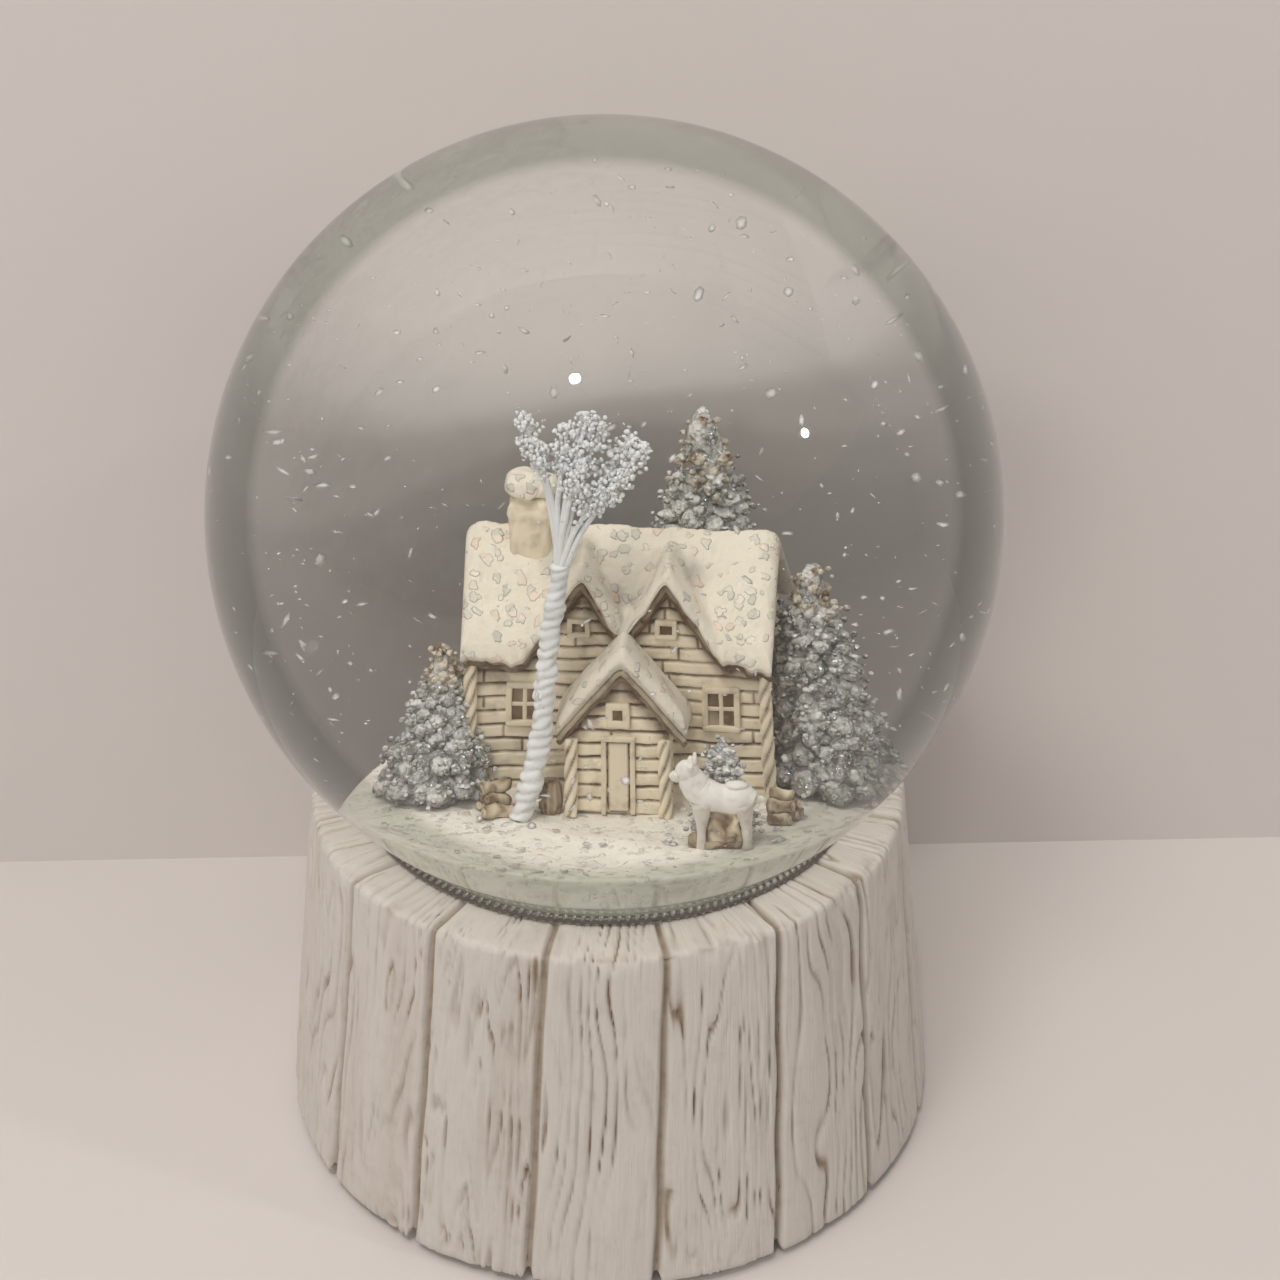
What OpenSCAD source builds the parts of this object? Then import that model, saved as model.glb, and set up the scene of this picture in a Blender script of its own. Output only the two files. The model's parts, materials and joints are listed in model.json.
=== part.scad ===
// Snow globe: a water-filled glass ball with a log cabin scene, on a plank-sided resin base
// that holds a wind-up musical movement. Millimetres. +Z is up and the front faces -Y.
// The origin is the middle of the four felt pads that the base stands on.

/* [Glass ball] */
// Outer radius of the glass ball
ball_r = 60; // [58:0.5:61]
// Height of the ball's centre above the table
ball_z = 106.5; // [106:0.5:108]
// Thickness of the glass
glass_t = 2.5; // [2:0.1:3]

/* [Base] */
// Height of the base's top face above the table
base_h = 60; // [59.5:0.1:60.2]
// Radius of the base at the table
foot_r = 56; // [55:0.5:60]
// Radius of the base at its top face
rim_r = 48.5; // [47.5:0.5:50]
// Number of planks round the base
plank_count = 17; // [12:1:22]
// Depth of the grooves between the planks
groove_depth = 1; // [0.5:0.1:1.4]
// Width of the grooves between the planks
groove_w = 1.6; // [1:0.1:2.4]

/* [Scene] */
// Height of the snow that the scene stands on
snow_z = 71.5; // [70.5:0.5:72.5]
// Radius of the snow that the scene stands on
mound_r = 28.8; // [28:0.2:32]
// Turn of the cabin about the vertical
cabin_yaw = -5; // [-8:1:0]
// Width of the cabin between its corners
cabin_w = 32.8; // [30:0.2:33.6]

/* [Movement] */
// Radius of the musical drum
drum_r = 6.5; // [6:0.1:6.7]
// Number of teeth on the comb
comb_teeth = 18; // [12:1:18]

/* [Hidden] */
$fn = 48;
eps = 0.05; // overlap that keeps cuts clean

// Base
pad_h = 1;
pad_r = 3;
pad_ring_r = 51.2;
shelf_z = 46;        // underside of the shelf that carries the ball
recess_z = 50;       // floor of the recess that the neck stands in
recess_r = 39.2;
cavity_r = 44;
plate_z = 9;
plate_t = 2.5;
plate_top = plate_z + plate_t;
rabbet_r = 48;
first_groove = -11.4; // angle from the front of the first groove
groove_slant = 2.6;   // every groove runs a little to the left on its way down
boss_r = 4;
boss_ring_r = 42;
boss_angles = [90, 210, 330];
screw_r = 1.25;
screw_clear = 0.05;

// Neck, stopper and trim
neck_r = 38.6;
neck_inner_r = 36.6;
neck_z = 54;
stopper_top = 62;
cord_r = 0.8;
cord_z = base_h + cord_r + 0.02;
cord_ring_r = sqrt(pow(ball_r + cord_r + 0.03, 2) - pow(ball_z - cord_z, 2)); // rests against the ball

// Scene, in the cabin's own frame: front wall at -wall_y, floor at 0
mound_x = 1;
cabin_pos = [2, 10, snow_z];
wall_y = 8;
wall_h = 17.5;
gable_h = 25.6;
dormer_x = 4.9;
dormer_mid = 0.8;    // the pair of dormers stands a little off the cabin's middle
dormer_h = 25.8;
dormer_half = 6.2;
valley_h = 18.2;
porch_x = 0.3;
porch_half = 5.7;
porch_y = -12.8;
porch_h = 10.5;
porch_peak = 17.5;
window_x = [-10.6, 11.6];
window_size = [4.2, 5.2];
window_z = 8.1;
post_r = 0.95;

// Movement
bed_t = 2.5;
bed_top = plate_top + bed_t;
arbor_r = 2;
bore_gap = 0.05;     // running clearance of a shaft in its hole
barrel_r = 12.5;
barrel_h = 8;
barrel_wall = 0.8;
crown_teeth = 30;
crown_pitch = 2.4;   // tooth to tooth along the rim
crown_r = crown_teeth * crown_pitch / 360 * 180 / PI;
crown_z = bed_top + barrel_h + 0.6;
crown_t = 1.5;
crown_tooth_h = 1.4;
pinion_teeth = crown_teeth / 2;
pinion_r = crown_r / 2;
mesh_z = crown_z + crown_t + crown_tooth_h / 2;
drum_z = mesh_z + pinion_r;
drum_x = [15, 31];
pin_out = 0.5;
train_m = 0.5;       // module of the second gear pair
wheel_teeth = 40;
counter_teeth = 10;
wheel_x = 32;
gear_w = 1.5;
pair_gap = (wheel_teeth + counter_teeth) * train_m / 2;
counter_angle = -30; // direction from the drum's axis to the counter shaft
counter_y = pair_gap * cos(counter_angle);
counter_z = drum_z + pair_gap * sin(counter_angle);
worm_teeth = 20;
worm_lead = 1.5;
worm_wheel_r = worm_teeth * worm_lead / 2 / PI;
worm_wheel_x = 24;
worm_r = 1.5;
fly_y = counter_y + worm_wheel_r + worm_r;
fly_x = worm_wheel_x + gear_w / 2;
fly_r = 4.2;
fly_top = 40;

function polar(r, a) = [r * cos(a), r * sin(a)];
function ramp(i, step) = (i * step) % 1; // evenly scattered values from 0 to 1

// Straight-sided gear outline: a tooth points along +X when half is false, a gap when it is true
function gear_outline(teeth, r, add, ded, root_w, tip_w, half) = [
    for (i = [0:teeth - 1], c = [[-root_w, -ded], [-tip_w, add], [tip_w, add], [root_w, -ded]])
        polar(r + c[1], (i + (half ? 0.5 : 0) + c[0]) * 360 / teeth)];

// A tapered rod from a to b
module rod(a, b, ra, rb) {
    v = b - a;
    length = norm(v);
    translate(a) rotate([0, acos(v[2] / length), atan2(v[1], v[0])])
        cylinder(h = length, r1 = ra, r2 = rb, $fn = 24);
}

module ball(p, r) {
    translate(p) sphere(r = r, $fn = 24);
}

// Lays a flat outline in the YZ plane and gives it a length along X
module along_x(x, length) {
    translate([x, 0, 0]) rotate([90, 0, 90]) linear_extrude(length) children();
}

// Lays a flat outline in the XZ plane and gives it a length along Y, from y_front back
module along_y(y_front, length) {
    translate([0, y_front + length, 0]) rotate([90, 0, 0]) linear_extrude(length) children();
}

module screw(head_r, head_h, length) {
    translate([0, 0, -head_h]) difference() {
        cylinder(h = head_h, r = head_r, $fn = 24);
        translate([-head_r, -0.3, -eps]) cube([2 * head_r, 0.6, head_h / 2]);
    }
    translate([0, 0, -eps]) cylinder(h = length + eps, r = screw_r, $fn = 24);
}

// ---- Base ----

module plank_grooves() {
    lean = atan((foot_r - rim_r) / (base_h - pad_h));
    length = base_h + 5 * groove_depth;
    for (i = [0:plank_count - 1]) rotate([0, 0, first_groove + i * 360 / plank_count]) {
        translate([0, -rim_r, base_h]) rotate([-lean, groove_slant, 0])
            translate([-groove_w / 2, -groove_depth, 2 * groove_depth - length])
                cube([groove_w, 2 * groove_depth, length]);
        translate([-groove_w / 2, -rim_r - 1, base_h - groove_depth])
            cube([groove_w, rim_r - recess_r + 1 + eps, 2 * groove_depth]);
    }
}

module base_shell() {
    color("antiquewhite") difference() {
        union() {
            difference() {
                translate([0, 0, pad_h]) cylinder(h = base_h - pad_h, r1 = foot_r, r2 = rim_r);
                translate([0, 0, plate_top]) cylinder(h = shelf_z - plate_top, r = cavity_r);
                translate([0, 0, pad_h - eps]) cylinder(h = plate_top - pad_h + 2 * eps, r = rabbet_r);
            }
            for (a = boss_angles) translate([each polar(boss_ring_r, a), plate_top])
                cylinder(h = 12, r = boss_r);
        }
        plank_grooves();
        translate([0, 0, recess_z]) cylinder(h = base_h, r = recess_r);
        for (a = boss_angles) translate([each polar(boss_ring_r, a), plate_top - eps])
            cylinder(h = 10, r = screw_r + screw_clear);
    }
}

module bottom_plate() {
    color("dimgray") difference() {
        translate([0, 0, plate_z]) cylinder(h = plate_t - 0.02, r = rabbet_r - 0.3);
        translate([0, 0, plate_z - eps]) cylinder(h = plate_t + 2 * eps, r = arbor_r + 1);
        for (a = boss_angles) translate([each polar(boss_ring_r, a), plate_z - eps])
            cylinder(h = plate_t + 2 * eps, r = screw_r + 0.3);
        for (p = bed_screws) translate([p[0], p[1], plate_z - eps])
            cylinder(h = plate_t + 2 * eps, r = screw_r + 0.3);
    }
}

module plate_screws() {
    color("silver") for (a = boss_angles)
        translate([each polar(boss_ring_r, a), plate_z - 0.02]) screw(2.6, 1.5, 11);
}

module felt_pads() {
    color("darkgreen") for (a = [45:90:315])
        translate(polar(pad_ring_r, a)) cylinder(h = pad_h, r = pad_r);
}

// ---- Ball ----

module stopper() {
    color("dimgray") {
        translate([0, 0, recess_z]) cylinder(h = neck_z - recess_z, r = neck_r);
        translate([0, 0, neck_z - eps]) cylinder(h = stopper_top - neck_z + eps, r = neck_inner_r - 0.1);
    }
}

module adhesive_ring() {
    color("lightyellow") translate([0, 0, recess_z]) difference() {
        cylinder(h = base_h - recess_z - 0.5, r = recess_r - 0.1);
        translate([0, 0, -eps]) cylinder(h = base_h, r = neck_r + 0.1);
    }
}

module trim_cord() {
    color("silver") translate([0, 0, cord_z])
        rotate_extrude($fn = 96) translate([cord_ring_r, 0]) circle(r = cord_r, $fn = 24);
}

module ball_above(r, z) {
    intersection() {
        translate([0, 0, ball_z]) sphere(r = r, $fn = 96);
        translate([0, 0, z]) cylinder(h = 2 * ball_r + 10, r = ball_r + 5);
    }
}

module glass_globe() {
    inner_r = ball_r - glass_t;
    color("lightcyan") difference() {
        union() {
            ball_above(ball_r, base_h);
            translate([0, 0, neck_z + 0.02]) cylinder(h = stopper_top - neck_z, r = neck_r);
        }
        ball_above(inner_r, stopper_top);
        translate([0, 0, neck_z - eps]) cylinder(h = stopper_top - neck_z + 0.3, r = neck_inner_r);
    }
}

module liquid() {
    gap = 0.15;
    color("aliceblue") difference() {
        ball_above(ball_r - glass_t - gap, stopper_top + 0.5);
        translate([mound_x, 0, stopper_top]) cylinder(h = snow_z - stopper_top + gap, r = mound_r + gap);
    }
}

// Flakes drift in the outer part of the ball, clear of the scene
module snow_flakes() {
    color("white") for (i = [0:47]) {
        turn = 360 * ramp(i, 0.618);
        height = 84 + 68 * ramp(i, 0.414);
        reach = sqrt(pow(ball_r - glass_t - 4, 2) - pow(height - ball_z, 2));
        away = reach * (0.8 + 0.2 * ramp(i, 0.732));
        translate([each polar(away, turn), height]) rotate([67 * i, 41 * i, 0])
            cylinder(h = 0.15, r = 0.7, $fn = 6);
    }
}

// ---- Scene ----

module in_cabin_frame() {
    translate(cabin_pos) rotate([0, 0, cabin_yaw]) children();
}

module cabin_outline() {
    polygon([[-wall_y, 0], [wall_y, 0], [wall_y, wall_h], [0, gable_h], [-wall_y, wall_h]]);
}

module dormer_outline() {
    translate([dormer_mid, 0])
        polygon([[-dormer_x - dormer_half, 14], [-dormer_x - dormer_half, wall_h],
                 [-dormer_x, dormer_h], [0, valley_h], [dormer_x, dormer_h],
                 [dormer_x + dormer_half, wall_h], [dormer_x + dormer_half, 14]]);
}

module wall_solid() {
    along_x(-cabin_w / 2, cabin_w) cabin_outline();
    along_y(-wall_y, wall_y) dormer_outline();
}

module snow_mound() {
    color("ivory") translate([mound_x, 0, stopper_top])
        cylinder(h = snow_z - stopper_top, r = mound_r);
}

module cabin_walls() {
    color("linen") in_cabin_frame() difference() {
        wall_solid();
        for (x = window_x) translate([x - window_size[0] / 2, -wall_y - eps, window_z])
            cube([window_size[0], 0.6 + eps, window_size[1]]);
    }
}

// A snow-covered chevron with its peak over x
module chevron(x, peak, half_w, drop, thick) {
    polygon([[x - half_w, peak - drop], [x, peak], [x + half_w, peak - drop],
             [x + half_w, peak - drop - thick], [x, peak - thick], [x - half_w, peak - drop - thick]]);
}

module cabin_roof() {
    over = 1.4;  // overhang past the end walls
    color("snow") in_cabin_frame() difference() {
        union() {
            difference() {
                along_x(-cabin_w / 2 - over, cabin_w + 2 * over)
                    chevron(0, gable_h + 3.4, wall_y + 2.6, 10.8, 3.4);
                translate([dormer_mid - dormer_x - dormer_half, -2 * wall_y, 0])
                    cube([2 * (dormer_x + dormer_half), 1.55 * wall_y, gable_h]);
            }
            along_y(-wall_y - 1.8, wall_y) {
                for (x = [-dormer_x, dormer_x])
                    chevron(dormer_mid + x, dormer_h + 2.5, dormer_half, 9.3, 2.5);
            }
        }
        wall_solid();
        chimney_solid();
        porch_solid();
    }
}

module corner_posts() {
    color("linen") in_cabin_frame() {
        for (x = [-1, 1]) translate([x * (cabin_w / 2 + 0.3), -wall_y - post_r - 0.05, 0])
            cylinder(h = wall_h - 1.5, r = post_r);
        for (x = [-1, 1]) translate([porch_x + x * (porch_half - 0.4), porch_y - post_r - 0.05, 0])
            cylinder(h = porch_h - 1.5, r = post_r);
    }
}

module windows() {
    bar = 0.5;
    color("linen") in_cabin_frame() for (x = window_x)
        translate([x - window_size[0] / 2, -wall_y - 0.5, window_z]) difference() {
            cube([window_size[0], 0.98, window_size[1]]);
            for (i = [0, 1], k = [0, 1])
                translate([bar + i * (window_size[0] - bar) / 2, -eps,
                           bar + k * (window_size[1] - bar) / 2])
                    cube([(window_size[0] - 3 * bar) / 2, 0.7, (window_size[1] - 3 * bar) / 2]);
        }
}

module porch_solid() {
    along_y(porch_y, -wall_y - porch_y - 0.02)
        polygon([[porch_x - porch_half, 0], [porch_x + porch_half, 0], [porch_x + porch_half, porch_h],
                 [porch_x, porch_peak], [porch_x - porch_half, porch_h]]);
}

module porch() {
    color("linen") in_cabin_frame() porch_solid();
}

module porch_roof() {
    color("snow") in_cabin_frame() along_y(porch_y - 1.6, -wall_y - porch_y + 1.55)
        difference() {
            chevron(porch_x, porch_peak + 3.2, porch_half + 1.6, 8.97, 3.15);
            polygon([[porch_x - porch_half - eps, 0], [porch_x + porch_half + eps, 0],
                     [porch_x + porch_half + eps, porch_h], [porch_x, porch_peak],
                     [porch_x - porch_half - eps, porch_h]]);
        }
}

module door() {
    door_w = 3.6;
    door_h = 8.6;
    color("wheat") in_cabin_frame() translate([porch_x - door_w / 2, porch_y - 0.45, 0]) difference() {
        cube([door_w, 0.43, door_h]);
        translate([0.7, -eps, 0.3]) cube([door_w - 1.4, 0.2, door_h - 1]);
    }
}

module chimney_solid() {
    translate([-12.9, -3.2, 20]) cube([4.8, 4, 13.5]);
}

module chimney() {
    color("linen") in_cabin_frame() difference() {
        chimney_solid();
        wall_solid();
    }
}

module chimney_cap() {
    color("snow") in_cabin_frame() translate([-10.5, -1.2, 33.52]) {
        cylinder(h = 1.6, r = 3);
        translate([0, 0, 1.6 - eps]) cylinder(h = 1.7, r1 = 3, r2 = 1.6);
    }
}

// A fir of stacked tiers, each a cone that flares over the one below
module fir(pos, h, r, tiers) {
    step = h / (tiers + 0.6);
    translate([pos[0], pos[1], snow_z]) for (i = [0:tiers - 1]) {
        width = r * (1 - i / tiers);
        translate([0, 0, i * step]) cylinder(h = step * 1.6, r1 = width, r2 = width * 0.3, $fn = 32);
    }
}

module clear_of_cabin() {
    difference() {
        children();
        in_cabin_frame() translate([-cabin_w / 2 - 1.5, -wall_y - 2, -eps])
            cube([cabin_w + 3, 2 * wall_y + 4.8, 40]);
    }
}

module fir_back() { color("gray") clear_of_cabin() fir([11, 22.6], 39, 8, 7); }
module fir_right() { color("gray") clear_of_cabin() fir([23, 8], 26, 7, 6); }
module fir_left() { color("gray") clear_of_cabin() fir([-18.2, 4.6], 17.3, 6.3, 5); }
module shrub() { color("gray") fir([13.2, -9.6], 12, 2.6, 3); }

trunk_path = [[-9.3, -4.2, snow_z], [-8.2, -4.4, 82], [-6.6, -4.4, 93], [-4.8, -4.2, 103]];
branch_tips = [[-9.9, -4.4, 120.6], [-2.4, -4.2, 119.8], [4.2, -4, 114.8], [-3.2, -4.6, 110.4]];
cluster_r = [3, 3.2, 3, 2.4];

module frosted_trunk() {
    color("whitesmoke") {
        for (i = [0:2]) rod(trunk_path[i], trunk_path[i + 1], 1.6 - 0.25 * i, 1.35 - 0.25 * i);
        ball(trunk_path[1], 1.5);
        ball(trunk_path[2], 1.3);
        ball(trunk_path[3], 1.2);
        for (tip = branch_tips) rod(trunk_path[3], tip, 0.6, 0.4);
    }
}

module frost_clusters() {
    color("whitesmoke") for (k = [0:3]) ball(branch_tips[k] + [0, 0, 2], cluster_r[k]);
}

module deer() {
    color("white") translate([13.2, -13.6, snow_z]) {
        rod([-2.4, 0, 7.2], [2.4, 0, 7.4], 2, 1.9);
        ball([-2.4, 0, 7.2], 2.2);
        ball([2.4, 0, 7.4], 2.1);
        for (x = [-2.6, 2.6], y = [-0.9, 0.9]) rod([x, y, 0], [x * 0.85, y, 6.6], 0.5, 0.75);
        rod([-2.9, 0, 8], [-3.9, 0, 10.6], 1.4, 1.1);
        ball([-3.9, 0, 10.9], 1.4);
        rod([-3.9, 0, 10.9], [-5.7, 0, 9.9], 1.1, 0.6);
        for (y = [-0.8, 0.8]) rod([-3.5, y, 11.2], [-2.7, 1.8 * y, 13], 0.5, 0.2);
        rod([3.4, 0, 8], [4.9, 0, 7.4], 0.6, 0.35);
    }
}

module log_piles() {
    color("tan") for (p = [[-12.6, -1.8, 25], [19.4, -4.6, -20]])
        translate([p[0], p[1], snow_z + 0.02]) rotate([0, 0, p[2]])
            for (k = [[-1, 0.9], [1, 0.9], [0, 2.55]])
                translate([-2.4, k[0], k[1]]) rotate([0, 90, 0]) cylinder(h = 4.8, r = 0.9, $fn = 24);
}

// ---- Movement ----

bed_screws = [[-10, -11.5], [-10, 11.5], [27, 0]];
comb_y = -drum_r - pin_out - 0.4;   // the tips stand just clear of the pins
comb_block = [16, 30, -22.4, -16.5];

module bedplate() {
    color("goldenrod") difference() {
        translate([0, 0, plate_top]) union() {
            translate([-14, -14, 0]) cube([52, 28.5, bed_t]);
            translate([14, -23, 0]) cube([17, 9 + eps, bed_t]);
            translate([18, 14, 0]) cube([13.5, 10.2, bed_t]);
            translate([comb_block[0], comb_block[2], 0])
                cube([comb_block[1] - comb_block[0], comb_block[3] - comb_block[2],
                      drum_z - 0.4 - plate_top]);
        }
        translate([0, 0, plate_top - eps]) cylinder(h = bed_t + 2 * eps, r = arbor_r + bore_gap);
        translate([fly_x, fly_y, bed_top - 1]) cylinder(h = 1 + eps, r = 0.6 + bore_gap, $fn = 24);
        for (p = bed_screws) translate([p[0], p[1], plate_top - eps])
            cylinder(h = bed_t + 2 * eps, r = screw_r + screw_clear);
        for (x = [19, 27]) translate([x, (comb_block[2] + comb_block[3]) / 2, drum_z - 5])
            cylinder(h = 5, r = screw_r + screw_clear);
    }
}

module movement_screws() {
    color("silver") for (p = bed_screws)
        translate([p[0], p[1], plate_z - 0.02]) screw(2.4, 1.2, 4.4);
}

module spring_barrel() {
    color("goldenrod") translate([0, 0, bed_top]) difference() {
        cylinder(h = barrel_h, r = barrel_r);
        translate([0, 0, -eps]) cylinder(h = barrel_h - barrel_wall + eps, r = barrel_r - barrel_wall);
        cylinder(h = barrel_h + eps, r = arbor_r + bore_gap);
    }
}

module mainspring() {
    turns = 7;
    steps = 24 * turns;
    inner = arbor_r + 1;
    outer = barrel_r - barrel_wall - 0.5;
    spiral = [for (i = [0:steps]) polar(inner + (outer - inner) * i / steps, 360 * turns * i / steps)];
    back = [for (i = [steps:-1:0]) polar(inner + 0.4 + (outer - inner) * i / steps,
                                         360 * turns * i / steps)];
    color("steelblue") translate([0, 0, bed_top + 0.5])
        linear_extrude(barrel_h - barrel_wall - 1) polygon(concat(spiral, back));
}

module drum_post() {
    color("goldenrod") difference() {
        translate([12.7, -3, bed_top]) cube([1.4, 6, drum_z + 3 - bed_top]);
        along_x(12, 3) translate([0, drum_z]) circle(r = 1 + bore_gap, $fn = 24);
        translate([0, 0, bed_top - eps]) cylinder(h = crown_z + 3 - bed_top, r = barrel_r + 0.1);
    }
}

module end_posts() {
    color("goldenrod") difference() {
        union() {
            translate([34.4, -3, bed_top]) cube([1.6, 16.5, counter_z + 3 - bed_top]);
            translate([34.4, -3, bed_top]) cube([1.6, 6, drum_z + 3 - bed_top]);
            translate([21.4, counter_y - 2, bed_top]) cube([1.4, 4, counter_z + 2.5 - bed_top]);
        }
        along_x(34, 3) translate([0, drum_z]) circle(r = 1 + bore_gap, $fn = 24);
        along_x(21, 16) translate([counter_y, counter_z]) circle(r = 0.8 + bore_gap, $fn = 24);
    }
}

module comb() {
    pitch = (drum_x[1] - drum_x[0]) / comb_teeth;
    color("lightsteelblue") difference() {
        translate([drum_x[0], comb_block[2], drum_z - 0.38])
            cube([drum_x[1] - drum_x[0], comb_y - comb_block[2], 0.8]);
        for (i = [1:comb_teeth - 1])
            translate([drum_x[0] + i * pitch - 0.12, comb_block[3] + 0.8 + i * 0.2, drum_z - 1])
                cube([0.24, 12, 2]);
        for (x = [19, 27]) translate([x, (comb_block[2] + comb_block[3]) / 2, drum_z - 1])
            cylinder(h = 3, r = screw_r + 0.3);
    }
}

module comb_screws() {
    color("silver") for (x = [19, 27])
        translate([x, (comb_block[2] + comb_block[3]) / 2, drum_z + 0.44]) rotate([180, 0, 0])
            screw(2.2, 1.2, 4.8);
}

module governor_frame() {
    color("goldenrod") difference() {
        union() {
            translate([fly_x - 3, 22.6, bed_top]) cube([6, 1.4, fly_top + 1.6 - bed_top]);
            translate([fly_x - 3, fly_y - 1.6, fly_top + 0.6]) cube([6, 23.9 - fly_y + 1.6, 1]);
        }
        translate([fly_x, fly_y, fly_top]) cylinder(h = 3, r = 0.6 + bore_gap, $fn = 24);
    }
}

module winding_key() {
    hub_r = 3.2;
    wing = 12;
    color("gold") difference() {
        union() {
            translate([0, 0, 2.2]) cylinder(h = 6, r = hub_r);
            for (s = [-1, 1]) translate([s * (wing - 4.2), 0, 4.6]) rotate([90, 0, 0])
                translate([0, 0, -0.9]) cylinder(h = 1.8, r = 3.4);
            translate([-wing + 4, -0.9, 3.4]) cube([2 * wing - 8, 1.8, 2.4]);
        }
        for (s = [-1, 1]) translate([s * (wing - 4.2), 0, 4.6]) rotate([90, 0, 0])
            translate([0, 0, -2]) cylinder(h = 4, r = 1.5);
        translate([0, 0, 3.5]) cylinder(h = 6, r = arbor_r + 0.02);
    }
}

module winding_arbor() {
    color("silver") translate([0, 0, 3.6]) cylinder(h = crown_z + crown_t + 1.2 - 3.6, r = arbor_r);
}

module great_wheel() {
    tooth_w = 0.8;
    color("gold") difference() {
        translate([0, 0, crown_z]) union() {
            cylinder(h = crown_t, r = crown_r + 0.7);
            for (i = [0:crown_teeth - 1]) rotate([0, 0, i * 360 / crown_teeth])
                translate([crown_r - 0.8, -tooth_w / 2, crown_t - eps])
                    cube([1.4, tooth_w, crown_tooth_h + eps]);
        }
        translate([0, 0, crown_z - eps]) cylinder(h = crown_t + 2 * eps, r = arbor_r + 0.02);
    }
}

module drum() {
    color("gold") {
        along_x(drum_x[0], drum_x[1] - drum_x[0]) translate([0, drum_z]) circle(r = drum_r);
        along_x(9.9, 26.2) translate([0, drum_z]) circle(r = 1, $fn = 24);
    }
}

// The tune's pins, two a tooth, scattered round the drum
module drum_pins() {
    pitch = (drum_x[1] - drum_x[0]) / comb_teeth;
    color("gold") for (i = [0:comb_teeth - 1], k = [0, 1])
        translate([drum_x[0] + (i + 0.5) * pitch, 0, drum_z])
            rotate([360 * ramp(i + k * 7, 0.618) + 15, 0, 0])
                translate([0, 0, drum_r - 0.4]) cylinder(h = 0.4 + pin_out, r = 0.2, $fn = 6);
}

module drum_pinion() {
    color("silver") along_x(crown_r - 0.75, 1.3) translate([0, drum_z]) difference() {
        rotate(-90) polygon(gear_outline(pinion_teeth, pinion_r, 0.55, 0.85, 0.26, 0.1, true));
        circle(r = 1.02, $fn = 24);
    }
}

module drum_wheel() {
    color("gold") along_x(wheel_x, gear_w) translate([0, drum_z]) difference() {
        rotate(counter_angle)
            polygon(gear_outline(wheel_teeth, wheel_teeth * train_m / 2, 0.35, 0.55, 0.25, 0.1, false));
        circle(r = 1.02, $fn = 24);
    }
}

module counter_shaft() {
    color("silver") along_x(21.3, 14.8) translate([counter_y, counter_z]) circle(r = 0.8, $fn = 24);
}

module counter_pinion() {
    color("silver") along_x(wheel_x, gear_w) translate([counter_y, counter_z]) difference() {
        rotate(counter_angle + 180)
            polygon(gear_outline(counter_teeth, counter_teeth * train_m / 2, 0.3, 0.55, 0.24, 0.1, true));
        circle(r = 0.82, $fn = 24);
    }
}

module worm_wheel() {
    color("gold") along_x(worm_wheel_x, gear_w) translate([counter_y, counter_z]) difference() {
        polygon(gear_outline(worm_teeth, worm_wheel_r, 0.3, 0.5, 0.2, 0.1, true));
        circle(r = 0.82, $fn = 24);
    }
}

module fly_shaft() {
    color("silver") translate([fly_x, fly_y, bed_top - 0.9])
        cylinder(h = fly_top + 1.4 - bed_top + 0.9, r = 0.6, $fn = 24);
}

// A single-start right-hand thread, with its crest between two teeth of the worm wheel
module worm() {
    turns = 4;
    below = turns / 2 * worm_lead;
    crest = [for (a = [-50, -22, 22, 50]) polar(abs(a) > 30 ? 1 : 1.8, a)];
    rest = [for (a = [80:40:280]) polar(1, a)];
    color("silver") difference() {
        translate([fly_x, fly_y, counter_z - below]) rotate([0, 0, -90])
            linear_extrude(height = 2 * below, twist = -360 * turns, slices = 12 * turns, $fn = 12)
                polygon(concat(crest, rest));
        translate([fly_x, fly_y, counter_z - below - 1]) cylinder(h = 2 * below + 2, r = 0.62, $fn = 24);
    }
}

module fly() {
    blade_h = 7;
    color("silver") translate([fly_x, fly_y, fly_top - 1 - blade_h]) difference() {
        union() {
            cylinder(h = blade_h, r = 1.1, $fn = 24);
            translate([-fly_r, -0.2, 0]) cube([2 * fly_r, 0.4, blade_h]);
        }
        translate([0, 0, -eps]) cylinder(h = blade_h + 2 * eps, r = 0.62, $fn = 24);
    }
}

base_shell();
bottom_plate();
plate_screws();
felt_pads();
stopper();
adhesive_ring();
trim_cord();
glass_globe();
liquid();
snow_flakes();
snow_mound();
cabin_walls();
cabin_roof();
corner_posts();
windows();
porch();
porch_roof();
door();
chimney();
chimney_cap();
fir_back();
fir_right();
fir_left();
shrub();
frosted_trunk();
frost_clusters();
deer();
log_piles();
bedplate();
movement_screws();
spring_barrel();
mainspring();
drum_post();
end_posts();
comb();
comb_screws();
governor_frame();
winding_key();
winding_arbor();
great_wheel();
drum();
drum_pins();
drum_pinion();
drum_wheel();
counter_shaft();
counter_pinion();
worm_wheel();
fly_shaft();
worm();
fly();
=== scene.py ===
import json
import math

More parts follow.
